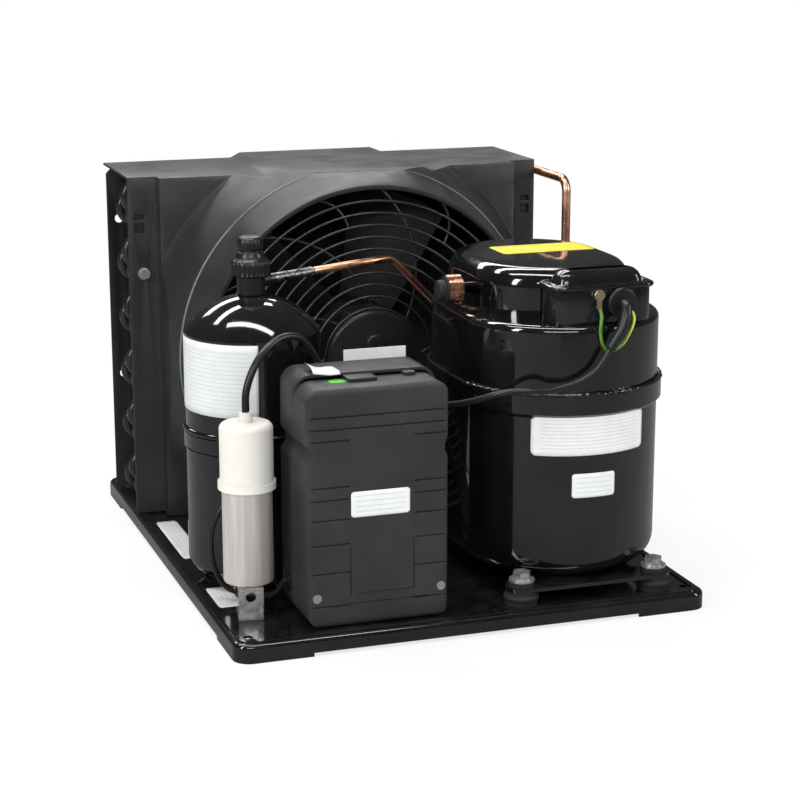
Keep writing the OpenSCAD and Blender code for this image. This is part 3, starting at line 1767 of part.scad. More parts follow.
module capacitor_bracket() {
  front_y = bracket_set - can_r;
  tab_z = can_z - bracket_t - gap - deck_z;
  color([0.72, 0.74, 0.76])
  translate([can_x, can_y, deck_z])
    rotate([0, 0, bracket_turn_deg])
      difference() {
        union() {
          translate([-bracket_w / 2, front_y - bracket_t, 0])
            cube([bracket_w, bracket_t, tab_z + bracket_t]);
          translate([-bracket_w / 2, front_y - bracket_t, 0])
            cube([bracket_w, bracket_foot, bracket_t]);
          translate([-bracket_w / 2, front_y - bracket_t, tab_z])
            cube([bracket_w, can_r + bracket_w / 2, bracket_t]);
        }
        translate([0, 0, tab_z - over])
          cylinder(r = stud_r + fit, h = bracket_t + 2 * over);
        translate([0, front_y - bracket_t - over, bracket_hole_up])
          rotate([-90, 0, 0]) cylinder(r = bracket_hole_r, h = bracket_t + 2 * over);
      }
}

module capacitor_nut() {
  color([0.75, 0.75, 0.77])
  translate([can_x, can_y, can_z - bracket_t - 2 * gap - stud_nut_h])
    difference() {
      cylinder(r = stud_nut_r, h = stud_nut_h, $fn = 6);
      translate([0, 0, -over]) cylinder(r = stud_r + fit, h = stud_nut_h + 2 * over);
    }
}

// Cables that hang free, each swept along its own route
module capacitor_cable() {
  color(rubber)
  swept_tube(smooth_route(capacitor_route, 2), cable_r, cable_seg, [0, 1, 0]);
}

module fan_lead() {
  color(rubber)
  swept_tube(fan_route, lead_r, cable_seg, [0, 0.2, 1]);
}

module compressor_cable() {
  color(rubber)
  swept_tube(comp_route, comp_cable_r, cable_seg, [0, 1, 0]);
}

module cable_sleeve() {
  color([0.04, 0.04, 0.04])
  swept_tube(smooth_route(sleeve_route, 2), sleeve_cable_r, cable_seg, [1, 0, 0]);
}

module earth_wire() {
  color([0.55, 0.7, 0.2])
  swept_tube(earth_route, earth_wire_r, cable_seg, [0, 1, 0]);
}

base_plate();
condenser_fins();
condenser_tubes();
return_bends();
end_plate_left();
end_plate_right();
condenser_feet();
foot_screws();
fan_shroud();
shroud_screws();
fan_guard();
fan_motor();
fan_motor_boss();
fan_shaft();
fan_impeller();
receiver_lower_shell();
receiver_upper_shell();
receiver_foot();
service_valve_body();
valve_spindle();
valve_cap();
valve_outlet_stub();
liquid_line();
discharge_line();
compressor_foot_plate();
foot_grommets();
foot_sleeves();
foot_washers();
foot_bolts();
compressor_lower_shell();
compressor_upper_shell();
suction_stub();
suction_plug();
motor_stator();
motor_rotor();
crankshaft();
cylinder_block();
piston();
terminal_frame();
terminal_cover();
terminal_gland();
earth_screw();
box_rear_housing();
box_front_cover();
box_screws();
start_relay();
start_capacitor();
terminal_block();
cable_glands();
box_tag();
run_capacitor_can();
run_capacitor_cap();
capacitor_bracket();
capacitor_nut();
capacitor_cable();
fan_lead();
compressor_cable();
cable_sleeve();
earth_wire();
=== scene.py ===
import math

import bmesh
import bpy
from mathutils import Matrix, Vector, noise
from mathutils.bvhtree import BVHTree


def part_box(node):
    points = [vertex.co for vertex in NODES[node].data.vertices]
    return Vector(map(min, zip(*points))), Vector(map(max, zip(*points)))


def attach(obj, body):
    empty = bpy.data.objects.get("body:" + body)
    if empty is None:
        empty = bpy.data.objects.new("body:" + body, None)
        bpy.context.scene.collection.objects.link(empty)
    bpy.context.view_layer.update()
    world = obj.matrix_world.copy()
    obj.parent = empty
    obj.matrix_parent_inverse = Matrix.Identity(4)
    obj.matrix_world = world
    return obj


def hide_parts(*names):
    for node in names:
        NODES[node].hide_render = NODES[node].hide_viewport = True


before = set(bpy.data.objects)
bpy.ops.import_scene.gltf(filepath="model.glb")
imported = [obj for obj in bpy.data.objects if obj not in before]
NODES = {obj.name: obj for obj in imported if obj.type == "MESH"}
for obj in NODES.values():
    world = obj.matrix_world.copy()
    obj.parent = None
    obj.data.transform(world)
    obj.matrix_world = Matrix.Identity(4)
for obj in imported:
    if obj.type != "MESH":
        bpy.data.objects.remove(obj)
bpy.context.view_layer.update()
scene = bpy.context.scene
MM = 0.001

# Places and sizes that several forms share, in millimetres
RECEIVER = (-139, -82)
COMPRESSOR = (102.5, -122)
COLLAR = (-3, 171)
PIPE_R = 3.4
TERMINAL_CORNER = 10
CREASE_ANGLE = math.radians(28)
ROUND_OFF_ANGLE = math.radians(32)
WELD_GAP = 0.004
LABEL_THICKNESS = 0.14


def mm(*p):
    """A point given in millimetres, in the frame's metres."""
    return Vector(p) * MM


# ---------------------------------------------------------------- camera
def make_camera():
    """The photograph's camera, solved from the base's edges."""
    data = bpy.data.cameras.new("camera")
    data.sensor_width = 36
    data.lens = 93.3
    data.shift_y = 0.019
    cam = bpy.data.objects.new("camera", data)
    cam.location = mm(-565.9, -1695.1, 576.3)
    cam.rotation_euler = (math.radians(75.7), 0, math.radians(-19.0))
    scene.collection.objects.link(cam)
    scene.camera = cam


make_camera()


# ---------------------------------------------------------------- mesh helpers
def placed(mesh, material, smooth=True):
    """An object of the mesh's own name, in the scene, with one material."""
    obj = bpy.data.objects.new(mesh.name, mesh)
    scene.collection.objects.link(obj)
    mesh.materials.append(material)
    for p in mesh.polygons:
        p.use_smooth = smooth
    return obj


def new_object(name, verts, faces, material, smooth=True):
    mesh = bpy.data.meshes.new(name)
    mesh.from_pydata([tuple(v) for v in verts], [], faces)
    mesh.update()
    return placed(mesh, material, smooth)


def set_uvs(obj, uvs):
    layer = obj.data.uv_layers.new(name="UVMap")
    for loop, uv in zip(layer.data, uvs):
        loop.uv = uv


def skin(rings, sides):
    """Faces between neighbouring rings of points."""
    faces = []
    for i in range(rings - 1):
        for k in range(sides):
            a, b = i * sides + k, i * sides + (k + 1) % sides
            faces.append((a, b, b + sides, a + sides))
    return faces


def end_caps(rings, sides):
    last = (rings - 1) * sides
    return [tuple(reversed(range(sides))), tuple(range(last, last + sides))]


def footprint(node):
    """A node's middle x and y, width, depth, and low and high z, in millimetres."""
    lo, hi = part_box(node)
    return ((lo.x + hi.x) / 2 / MM, (lo.y + hi.y) / 2 / MM,
            (hi.x - lo.x) / MM, (hi.y - lo.y) / MM, lo.z / MM, hi.z / MM)


def catmull(route, steps):
    """Points on a smooth curve through the route's points."""
    out = []
    last = len(route) - 1
    for i in range(last):
        p0, p1 = route[max(i - 1, 0)], route[i]
        p2, p3 = route[i + 1], route[min(i + 2, last)]
        for s in range(steps):
            t = s / steps
            out.append(
                (2 * p1 + (p2 - p0) * t + (2 * p0 - 5 * p1 + 4 * p2 - p3) * t * t
                 + (3 * p1 - p0 - 3 * p2 + p3) * t ** 3) / 2)
    out.append(route[last])
    return out


def rounded(route, bend, steps):
    """The route with each corner turned to one bend radius."""
    out = [route[0]]
    for i in range(1, len(route) - 1):
        u = (route[i] - route[i - 1]).normalized()
        w = (route[i + 1] - route[i]).normalized()
        angle = u.angle(w)
        n = (w - w.dot(u) * u).normalized()
        start = route[i] - bend * math.tan(angle / 2) * u
        for s in range(steps + 1):
            a = angle * s / steps
            out.append(start + bend * (math.sin(a) * u + (1 - math.cos(a)) * n))
    out.append(route[-1])
    return out


def path_length(path):
    """Length along the points of a path."""
    return sum((b - a).length for a, b in zip(path, path[1:]))


def tube(name, path, radius, material, sides):
    """A capped tube along a path. radius is a number, or a function of the share of the length."""
    total = path_length(path)
    verts, runs = [], []
    side = None
    run = 0
    for i, p in enumerate(path):
        a, b = path[max(i - 1, 0)], path[min(i + 1, len(path) - 1)]
        heading = (b - a).normalized()
        if side is None:
            seed = Vector((0, 0, 1)) if abs(heading.z) < 0.9 else Vector((0, 1, 0))
            side = heading.cross(seed.cross(heading)).normalized()
        side = heading.cross(side.cross(heading)).normalized()
        up = heading.cross(side)
        if i:
            run += (p - path[i - 1]).length
        runs.append(run)
        r = radius(run / total) if callable(radius) else radius
        for k in range(sides):
            t = 2 * math.pi * k / sides
            verts.append(p + r * (math.cos(t) * side + math.sin(t) * up))
    uvs = []
    for low, high in zip(runs, runs[1:]):
        for k in range(sides):
            here, there = k / sides, (k + 1) / sides
            uvs += [(here, low), (there, low), (there, high), (here, high)]
    uvs += [(0, 0)] * (2 * sides)
    faces = skin(len(path), sides) + end_caps(len(path), sides)
    obj = new_object(name, verts, faces, material)
    set_uvs(obj, uvs)
    return obj


def turned(name, profile, material, centre, axis, sides, ripple):
    """A turned form from (radius, height) points about an axis through centre."""
    z = Vector(axis).normalized()
    seed = Vector((1, 0, 0)) if abs(z.x) < 0.9 else Vector((0, 1, 0))
    x = (seed - seed.dot(z) * z).normalized()
    y = z.cross(x)
    verts = []
    for i, (r, h) in enumerate(profile):
        for k in range(sides):
            t = 2 * math.pi * k / sides
            rr = r + ripple(i, t)
            verts.append(Vector(centre) + rr * (math.cos(t) * x + math.sin(t) * y) + h * z)
    faces = skin(len(profile), sides) + end_caps(len(profile), sides)
    return new_object(name, verts, faces, material)


def ride(obj, body="unit", over=None):
    """The object goes with a body, and may replace a node."""
    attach(obj, body)
    if over:
        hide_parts(over)
    return obj


def tree_of(node):
    """A node's faces, for rays to be cast on."""
    mesh = NODES[node].data
    return BVHTree.FromPolygons([v.co.copy() for v in mesh.vertices],
                                [list(p.vertices) for p in mesh.polygons])


# ---------------------------------------------------------------- materials
class Shader:
    """Builds one procedural material round a Principled shader."""

    def __init__(self, name, color, rough, metallic=0.0, ior=1.5):
        self.mat = bpy.data.materials.new(name)
        self.mat.use_nodes = True
        self.t = self.mat.node_tree
        self.bsdf = self.t.nodes["Principled BSDF"]
        self.mat.diffuse_color = (*color, 1)
        self.set("Base Color", (*color, 1))
        self.set("Roughness", rough)
        self.set("Metallic", metallic)
        self.set("IOR", ior)
        coords = self.node("ShaderNodeTexCoord")
        self.object = coords.outputs["Object"]
        self.uv = coords.outputs["UV"]
        self.height = None

    def set(self, socket, value):
        self.bsdf.inputs[socket].default_value = value
        return self

    def node(self, kind, **values):
        n = self.t.nodes.new(kind)
        for k, v in values.items():
            setattr(n, k, v)
        return n

    def link(self, a, b):
        self.t.links.new(a, b)

    def noise(self, scale, detail=3, rough=0.5, stretch=(1, 1, 1)):
        m = self.node("ShaderNodeMapping")
        m.inputs["Scale"].default_value = stretch
        self.link(self.object, m.inputs["Vector"])
        n = self.node("ShaderNodeTexNoise")
        n.inputs["Scale"].default_value = scale
        n.inputs["Detail"].default_value = detail
        n.inputs["Roughness"].default_value = rough
        self.link(m.outputs["Vector"], n.inputs["Vector"])
        return n.outputs["Fac"]

    def cells(self, scale):
        n = self.node("ShaderNodeTexVoronoi", feature="F1")
        n.inputs["Scale"].default_value = scale
        self.link(self.object, n.inputs["Vector"])
        return n.outputs["Distance"]

    def remap(self, value, lo, hi, to_lo=0.0, to_hi=1.0):
        n = self.node("ShaderNodeMapRange")
        n.inputs["From Min"].default_value = lo
        n.inputs["From Max"].default_value = hi
        n.inputs["To Min"].default_value = to_lo
        n.inputs["To Max"].default_value = to_hi
        self.link(value, n.inputs["Value"])
        return n.outputs["Result"]

    def math(self, kind, a, b=None):
        n = self.node("ShaderNodeMath", operation=kind)
        for i, v in enumerate((a, b)):
            if v is None:
                continue
            if isinstance(v, (int, float)):
                n.inputs[i].default_value = v
            else:
                self.link(v, n.inputs[i])
        return n.outputs["Value"]

    def split(self, vector):
        n = self.node("ShaderNodeSeparateXYZ")
        self.link(vector, n.inputs["Vector"])
        return n.outputs

    def mix(self, factor, a, b):
        n = self.node("ShaderNodeMix", data_type="RGBA")
        self.link(factor, n.inputs[0])
        for socket, v in ((n.inputs[6], a), (n.inputs[7], b)):
            if isinstance(v, tuple):
                socket.default_value = (*v, 1)
            else:
                self.link(v, socket)
        return n.outputs[2]

    def color(self, out):
        self.link(out, self.bsdf.inputs["Base Color"])
        return self

    def vary_color(self, a, b, scale, **kw):
        return self.color(self.mix(self.remap(self.noise(scale, **kw), 0.35, 0.65), a, b))

    def vary_rough(self, lo, hi, scale, **kw):
        self.link(self.remap(self.noise(scale, **kw), 0.3, 0.7, lo, hi),
                  self.bsdf.inputs["Roughness"])
        return self

    def bump(self, value, strength, distance):
        n = self.node("ShaderNodeBump")
        n.inputs["Strength"].default_value = strength
        n.inputs["Distance"].default_value = distance
        self.link(value, n.inputs["Height"])
        if self.height is not None:
            self.link(self.height, n.inputs["Normal"])
        self.height = n.outputs["Normal"]
        self.link(self.height, self.bsdf.inputs["Normal"])
        return self

    def dust(self, under, amount, tone=(0.16, 0.155, 0.15)):
        """Light dust and small specks on what faces upwards."""
        geo = self.node("ShaderNodeNewGeometry")
        up = self.remap(self.split(geo.outputs["Normal"])[2], 0.55, 1.0)
        soft = self.remap(self.noise(35, detail=6, rough=0.65), 0.42, 0.72, 0.0, amount)
        specks = self.remap(self.noise(900, detail=2), 0.68, 0.74, 0.0, 0.5)
        layer = self.math("MULTIPLY", up, self.math("MAXIMUM", soft, specks))
        return self.mix(layer, under, tone)


def gloss_paint(name, tone, rough, dust, peel=0.05, coat=0.6):
    """Enamel with orange peel under a clear coat."""
    s = Shader(name, tone, 0.12)
    light = tuple(c * 1.6 + 0.002 for c in tone)
    base = s.mix(s.remap(s.noise(22, detail=5), 0.4, 0.7), tone, light)
    s.color(s.dust(base, dust))
    s.vary_rough(*rough, scale=55, detail=6, rough=0.6)
    s.bump(s.noise(240, detail=2), peel, 0.0006)
    s.bump(s.noise(38, detail=2), peel * 0.8, 0.0016)
    s.set("Coat Weight", coat).set("Coat Roughness", 0.05)
    return s.mat


def satin(name, tone, light, rough, grain=1500, strength=0.12, dust=0.12):
    """Satin paint, rubber or moulded plastic with a fine grain."""
    s = Shader(name, tone, sum(rough) / 2, ior=1.48)
    base = s.mix(s.remap(s.noise(18, detail=6, rough=0.6), 0.38, 0.68), tone, light)
    s.color(s.dust(base, dust, (0.12, 0.12, 0.118)))
    s.vary_rough(*rough, scale=34, detail=5)
    s.bump(s.noise(grain, detail=2), strength, 0.0003)
    s.bump(s.noise(26, detail=3), 0.06, 0.0015)
    return s.mat


def metal(name, tone, light, rough, stretch=(1, 1, 1), scale=90, grain=700, strength=0.1,
          metallic=1.0):
    """Metal that varies between two tones, brushed where it is stretched."""
    s = Shader(name, tone, sum(rough) / 2, metallic=metallic)
    s.vary_color(tone, light, scale=scale, detail=6, stretch=stretch)
    s.vary_rough(*rough, scale=scale * 1.4, detail=5, stretch=stretch)
    s.bump(s.noise(grain, detail=3, stretch=stretch), strength, 0.0002)
    return s.mat


def zinc(name):
    """Zinc plate with a faint crystal pattern and yellowish stains."""
    s = Shader(name, (0.55, 0.56, 0.56), 0.3, metallic=0.8)
    flakes = s.cells(260)
    tone = s.mix(s.remap(flakes, 0.0, 0.8),
                 (0.66, 0.67, 0.66), (0.42, 0.44, 0.45))
    stain = s.remap(s.noise(70, detail=6), 0.52, 0.72, 0.0, 0.55)
    s.color(s.mix(stain, tone, (0.5, 0.47, 0.38)))
    s.vary_rough(0.2, 0.42, scale=120, detail=5)
    s.bump(s.noise(900, detail=3), 0.12, 0.0002)
    return s.mat


def copper_pipe(name):
    """Bare copper with brown tarnish."""
    s = Shader(name, (0.74, 0.38, 0.22), 0.28, metallic=1.0)
    bright = s.mix(s.remap(s.noise(60, detail=6), 0.35, 0.7), (0.86, 0.5, 0.33),
                   (0.62, 0.29, 0.17))
    tarnish = s.remap(s.noise(28, detail=7, rough=0.65), 0.5, 0.72, 0.0, 0.75)
    s.color(s.mix(tarnish, bright, (0.2, 0.09, 0.055)))
    s.vary_rough(0.2, 0.45, scale=80, detail=6)
    s.bump(s.noise(520, detail=4), 0.1, 0.0003)
    return s.mat


def label_stock(name, tone, ink=None, lines=0):
    """Plain sticker, or one with faint ruled lines, and no lettering."""
    s = Shader(name, tone, 0.4)
    paper = s.mix(s.remap(s.noise(120, detail=5), 0.35, 0.7), tone,
                  tuple(c * 0.93 for c in tone))
    if lines:
        u, v = s.split(s.uv)[:2]
        rows = s.math("FRACT", s.math("MULTIPLY", v, lines))
        rule = s.math("LESS_THAN", rows, 0.16)
        inset = s.math("MULTIPLY", s.math("GREATER_THAN", u, 0.07), s.math("LESS_THAN", u, 0.93))
        tall = s.math("MULTIPLY", s.math("GREATER_THAN", v, 0.1), s.math("LESS_THAN", v, 0.92))
        line = s.math("MULTIPLY", s.math("MULTIPLY", rule, inset), tall)
        paper = s.mix(s.math("MULTIPLY", line, 0.55), paper, ink)
    s.color(paper)
    s.vary_rough(0.3, 0.5, scale=90)
    s.bump(s.noise(400, detail=3), 0.05, 0.0002)
    return s.mat


BASE_BLACK = gloss_paint("base_black_paint", (0.0045, 0.0045, 0.005), rough=(0.05, 0.13), dust=0.1)
SHELL_BLACK = gloss_paint("shell_black_enamel", (0.004, 0.004, 0.0045), rough=(0.045, 0.12),
                          dust=0.05, peel=0.04, coat=0.8)
WELD_BLACK = gloss_paint("weld_black_enamel", (0.008, 0.008, 0.009), rough=(0.08, 0.2),
                         dust=0.12, peel=0.55, coat=0.8)
SHEET_BLACK = satin("sheet_black_paint", (0.012, 0.012, 0.013), (0.02, 0.02, 0.021),
                    (0.3, 0.44), grain=900)
SHROUD = satin("shroud_black_plastic", (0.017, 0.017, 0.018), (0.028, 0.028, 0.029),
               (0.34, 0.48), grain=1100, dust=0.3)
# Light grey tone for the collar's pressed edge: a painted highlight on the black shroud
RIDGE_PAINTED_HIGHLIGHT = satin("shroud_edge_painted_highlight", (0.12, 0.12, 0.122), (0.2, 0.2, 0.202),
              (0.12, 0.22), grain=1100, dust=0.2)
FIN_BLACK = satin("fin_black_coating", (0.04, 0.04, 0.042), (0.07, 0.07, 0.07), (0.32, 0.5),
                  grain=600)
COIL = gloss_paint("coil_tube_black", (0.012, 0.011, 0.010), rough=(0.18, 0.34), dust=0.1,
                   peel=0.1, coat=0.2)
COPPER = copper_pipe("bare_copper_pipe")
STEEL = metal("brazed_steel_pipe", (0.06, 0.052, 0.048), (0.62, 0.58, 0.54), (0.22, 0.5),
              scale=260, grain=500, strength=0.5)
ZINC = zinc("zinc_plate")
BRASS = metal("tinned_brass_ring", (0.55, 0.42, 0.28), (0.72, 0.62, 0.46), (0.25, 0.4))
INNER = metal("inner_steel", (0.32, 0.32, 0.33), (0.5, 0.5, 0.51), (0.3, 0.5))
FAN_PLASTIC = satin("fan_black_plastic", (0.010, 0.010, 0.011), (0.018, 0.018, 0.019),
                    (0.28, 0.4))
GUARD_WIRE = gloss_paint("guard_wire_coating", (0.02, 0.02, 0.021), rough=(0.2, 0.34), dust=0.2,
                         coat=0.3)
MOTOR_BLACK = satin("motor_black_paint", (0.013, 0.013, 0.014), (0.022, 0.022, 0.023),
                    (0.24, 0.36))
BLACK_PLASTIC = satin("black_moulded_plastic", (0.008, 0.008, 0.009), (0.014, 0.014, 0.015),
                      (0.26, 0.42), strength=0.2)
BOX_GREY = satin("box_grained_plastic", (0.022, 0.023, 0.025), (0.032, 0.033, 0.035),
                 (0.42, 0.54), grain=2200, strength=0.35, dust=0.12)
RUBBER = satin("black_rubber", (0.012, 0.012, 0.012), (0.02, 0.02, 0.02), (0.55, 0.75))
CABLE_BLACK = satin("cable_black_jacket", (0.009, 0.009, 0.009), (0.015, 0.015, 0.015),
                    (0.24, 0.4), grain=800)
CAP_CREAM = satin("capacitor_cap_plastic", (0.74, 0.72, 0.66), (0.8, 0.79, 0.73), (0.34, 0.5),
                  dust=0.1)
WHITE_PLASTIC = satin("white_plastic", (0.76, 0.76, 0.75), (0.82, 0.82, 0.81), (0.35, 0.5),
                      dust=0.08)
CAN_METAL = metal("brushed_can_metal", (0.68, 0.62, 0.58), (0.82, 0.78, 0.75), (0.36, 0.52),
                  stretch=(1, 1, 0.06), scale=180, grain=900, strength=0.2, metallic=0.55)
WHITE_LABEL = label_stock("white_label", (0.8, 0.81, 0.81), (0.3, 0.32, 0.35), lines=11)
SMALL_LABEL = label_stock("small_white_label", (0.8, 0.82, 0.8), (0.35, 0.5, 0.42), lines=5)
RECEIVER_LABEL = label_stock("receiver_label", (0.72, 0.73, 0.73), (0.24, 0.52, 0.38), lines=17)
PLAIN_LABEL = label_stock("plain_label", (0.8, 0.81, 0.8))
YELLOW_LABEL = label_stock("yellow_label", (0.74, 0.64, 0.03))
GREEN_DOT = label_stock("green_sticker", (0.1, 0.5, 0.04))


def wire_stripes(name):
    """Green insulation with one yellow stripe laid along it in a slow twist."""
    s = Shader(name, (0.06, 0.2, 0.03), 0.35)
    u, v = s.split(s.uv)[:2]
    around = s.math("FRACT", s.math("ADD", u, s.math("MULTIPLY", v, 9.0)))
    around = s.math("FRACT", s.math("ADD", around, 0.5))
    stripe = s.math("LESS_THAN", around, 0.42)
    green = s.mix(s.remap(s.noise(200), 0.3, 0.7), (0.06, 0.17, 0.02), (0.11, 0.27, 0.04))
    s.color(s.mix(stripe, green, (0.72, 0.58, 0.07)))
    s.vary_rough(0.25, 0.42, scale=150)
    s.bump(s.noise(600), 0.05, 0.0002)
    return s.mat


WIRE = wire_stripes("green_yellow_wire")
BLACK_GLOSS = gloss_paint("terminal_black_gloss", (0.006, 0.006, 0.007), rough=(0.1, 0.2),
                          dust=0.06, peel=0.06, coat=0.5)


def suction_metal(name):
    """Copper ring, and the thin painted tube behind it."""
    s = Shader(name, (0.7, 0.36, 0.22), 0.25, metallic=1.0)
    copper = s.mix(s.remap(s.noise(90, detail=6), 0.35, 0.7), (0.8, 0.45, 0.3),
                   (0.4, 0.17, 0.1))
    ring_end, paint_start = 21.2 * MM, 22.8 * MM
    x = s.split(s.object)[0]
    s.color(s.mix(s.remap(x, ring_end, paint_start), copper, (0.015, 0.013, 0.013)))
    s.vary_rough(0.16, 0.34, scale=110)
    s.bump(s.noise(500, detail=3), 0.12, 0.0003)
    return s.mat


SUCTION = suction_metal("suction_copper")


# ---------------------------------------------------------------- looks of the CAD nodes
LOOKS = {
    BASE_BLACK: ["base_plate", "compressor_foot_plate"],
    SHELL_BLACK: ["receiver_lower_shell", "receiver_upper_shell", "receiver_foot",
                  "compressor_lower_shell", "compressor_upper_shell"],
    SHEET_BLACK: ["end_plate_left", "end_plate_right", "condenser_feet"],
    SHROUD: ["fan_shroud"],
    FIN_BLACK: ["condenser_fins"],
    COIL: ["condenser_tubes", "return_bends"],
    COPPER: ["liquid_line", "discharge_line"],
    SUCTION: ["suction_stub"],
    STEEL: ["valve_outlet_stub"],
    ZINC: ["box_screws", "foot_screws", "shroud_screws", "foot_washers", "foot_bolts",
           "foot_sleeves", "capacitor_bracket", "capacitor_nut", "valve_spindle", "fan_shaft"],
    BRASS: ["earth_screw"],
    INNER: ["motor_stator", "motor_rotor", "crankshaft", "cylinder_block", "piston",
            "start_capacitor"],
    FAN_PLASTIC: ["fan_impeller"],
    GUARD_WIRE: ["fan_guard"],
    MOTOR_BLACK: ["fan_motor", "fan_motor_boss"],
    BLACK_GLOSS: ["terminal_frame", "terminal_cover"],
    BLACK_PLASTIC: ["valve_cap", "service_valve_body", "terminal_gland", "start_relay",
                    "terminal_block", "cable_glands"],
    BOX_GREY: ["box_rear_housing", "box_front_cover"],
    RUBBER: ["foot_grommets", "suction_plug"],
    CABLE_BLACK: ["capacitor_cable", "fan_lead", "compressor_cable", "cable_sleeve"],
    WIRE: ["earth_wire"],
    CAP_CREAM: ["run_capacitor_cap"],
    CAN_METAL: ["run_capacitor_can"],
    WHITE_PLASTIC: ["box_tag"],
}
# Width of the small rounding on a node's sharp edges, in millimetres
ROUND_OFF = {"fan_shroud": 0.8, "end_plate_left": 0.3, "end_plate_right": 0.3,
             "terminal_frame": 0.5, "capacitor_bracket": 0.25, "box_rear_housing": 0.4}


def dress_nodes():
    """Each shown CAD node gets its material and evenly shaded round faces."""
    for material, names in LOOKS.items():
        for name in names:
            obj = NODES[name]
            mesh = obj.data
            mesh.materials.clear()
            mesh.materials.append(material)
            mesh.polygons.foreach_set("material_index", [0] * len(mesh.polygons))
            mesh.polygons.foreach_set("use_smooth", [True] * len(mesh.polygons))
            if mesh.has_custom_normals:
                with bpy.context.temp_override(object=obj, active_object=obj,
                                               selected_objects=[obj]):
                    bpy.ops.mesh.customdata_custom_splitnormals_clear()
            weld = obj.modifiers.new("weld", "WELD")
            weld.merge_threshold = WELD_GAP * MM
            if name in ROUND_OFF:
                edge = obj.modifiers.new("round_off", "BEVEL")
                edge.width = ROUND_OFF[name] * MM
                edge.segments = 2
                edge.limit_method = "ANGLE"
                edge.angle_limit = ROUND_OFF_ANGLE
            split = obj.modifiers.new("creases", "EDGE_SPLIT")
            split.split_angle = CREASE_ANGLE
            split.use_edge_sharp = False


dress_nodes()


# ---------------------------------------------------------------- cords
# Each cord's route and radius in millimetres, far end, stiffness, material and slot
CABLES = {
    "capacitor_cable": (
        [(-170, -176, 164), (-170, -176, 180), (-169, -175, 196), (-162, -172, 213),
         (-150, -166, 226), (-134, -158, 233), (-118, -151, 230), (-108, -147, 219),
         (-101, -146, 206), (-99, -151, 195), (-99, -157.7, 195), (-99, -165.7, 195)],
        3.0, "object", "stiff", CABLE_BLACK, "rubber_black"),
    "fan_lead": (
        [(-136.5, -178, 39), (-142, -178, 39), (-146, -175, 30), (-151, -166, 24),
         (-163, -150, 21), (-180, -141, 26), (-190, -139, 48), (-190, -141, 78),
         (-178, -144, 98), (-160, -147, 99), (-147, -152, 82), (-143, -154, 52),
         (-140, -149, 28), (-120, -141, 19), (-92, -121, 18.5), (-75, -88, 18.5),
         (-60, -40, 20), (-40, -8, 42), (-24, -4, 90), (-14, -4, 124), (-14, 0, 134),
         (-14, 7.7, 134)],
        2.2, "object", "medium", CABLE_BLACK, "rubber_black"),
    "compressor_cable": (
        [(108.8, -243.3, 224), (103, -243.5, 215.3), (95, -243.5, 206.3), (84, -243.5, 200),
         (70, -243, 196), (54, -243, 194), (36, -240, 195), (20, -231, 192), (6, -215, 184),
         (-6, -198, 178), (-14, -187, 176), (-18.6, -186, 176), (-26, -186, 176)],
        2.6, "object", "medium", CABLE_BLACK, "rubber_black"),
    "earth_wire": (
        [(106, -227.8, 253), (105, -234, 248), (103, -237, 236), (106, -237, 225),
         (113, -236.6, 221.5), (122, -236.6, 225.5), (129, -236.8, 236.5),
         (131.8, -236.6, 245), (131.5, -234.5, 249.8), (131.2, -231.6, 250.4)],
        1.4, "object", "medium", WIRE, "wire_green"),
}
SLEEVE = [(125, -222.3, 257.3), (125, -232.3, 257.3), (125, -236.5, 256.3), (123, -240.3, 250.3),
          (118, -243.3, 238.3), (109, -243.3, 224.3)]


def make_cables():
    """The four cords along their routes, and the tapered sleeve at the compressor."""
    sleeve_path = [p * MM for p in catmull([Vector(p) for p in SLEEVE], 8)]
    sleeve = tube("cord_sleeve", sleeve_path, lambda s: (5.0 - 0.9 * s) * MM, CABLE_BLACK, 24)
    ride(sleeve, "unit", "cable_sleeve")
    for name, (route, r, end, stiff, material, slot) in CABLES.items():
        route = [Vector(p) * MM for p in route]
        path = catmull(route, 6)
        obj = tube("cord_" + name, path, r * MM, material, 14)
        ride(obj, "unit", name)


make_cables()


# ---------------------------------------------------------------- labels
def grid_mesh(name, points, material):
    """A sheet through rows of points, with a thin edge and its own 0 to 1 coordinates."""
    rows, cols = len(points), len(points[0])
    verts = [p for row in points for p in row]
    faces, uvs = [], []
    for i in range(rows - 1):
        for j in range(cols - 1):
            a = i * cols + j
            faces.append((a, a + 1, a + cols + 1, a + cols))
            for di, dj in ((0, 0), (0, 1), (1, 1), (1, 0)):
                uvs.append(((j + dj) / (cols - 1), (i + di) / (rows - 1)))
    obj = new_object(name, verts, faces, material)
    set_uvs(obj, uvs)
    thick = obj.modifiers.new("thickness", "SOLIDIFY")
    thick.thickness = LABEL_THICKNESS * MM
    thick.offset = 1
    return obj


def stick(name, material, node, centre, u, v, size, ray, body="unit", lift=0.12,
          cells=(24, 10)):
    """A label laid on a CAD node: its grid is dropped onto the node's surface along ray."""
    corner = 0.12
    start_off, reach = 80 * MM, 200 * MM
    tree = tree_of(node)
    u, v, ray = Vector(u), Vector(v), Vector(ray).normalized()
    nu, nv = cells
    rows = []
    for i in range(nv + 1):
        row = []
        for j in range(nu + 1):
            a, b = j / nu - 0.5, i / nv - 0.5
            if abs(a) == 0.5 and abs(b) == 0.5:
                a, b = a * (1 - corner / 10), b * (1 - corner)
            p = (Vector(centre) + a * size[0] * u + b * size[1] * v) * MM
            hit = tree.ray_cast(p - ray * start_off, ray, reach)[0]
            row.append(hit - ray * lift * MM if hit is not None else p)
        rows.append(row)
    return ride(grid_mesh(name, rows, material), body)


def wrap(name, material, centre, radius, start, end, low, high):
    """A label wrapped round an upright cylinder, from one angle to another."""
    rows = []
    for i in range(11):
        z = low + (high - low) * i / 10
        row = []
        for j in range(41):
            a = math.radians(start + (end - start) * j / 40)
            row.append(mm(centre[0] + radius * math.cos(a), centre[1] + radius * math.sin(a), z))
        rows.append(row)
    return ride(grid_mesh(name, rows, material))


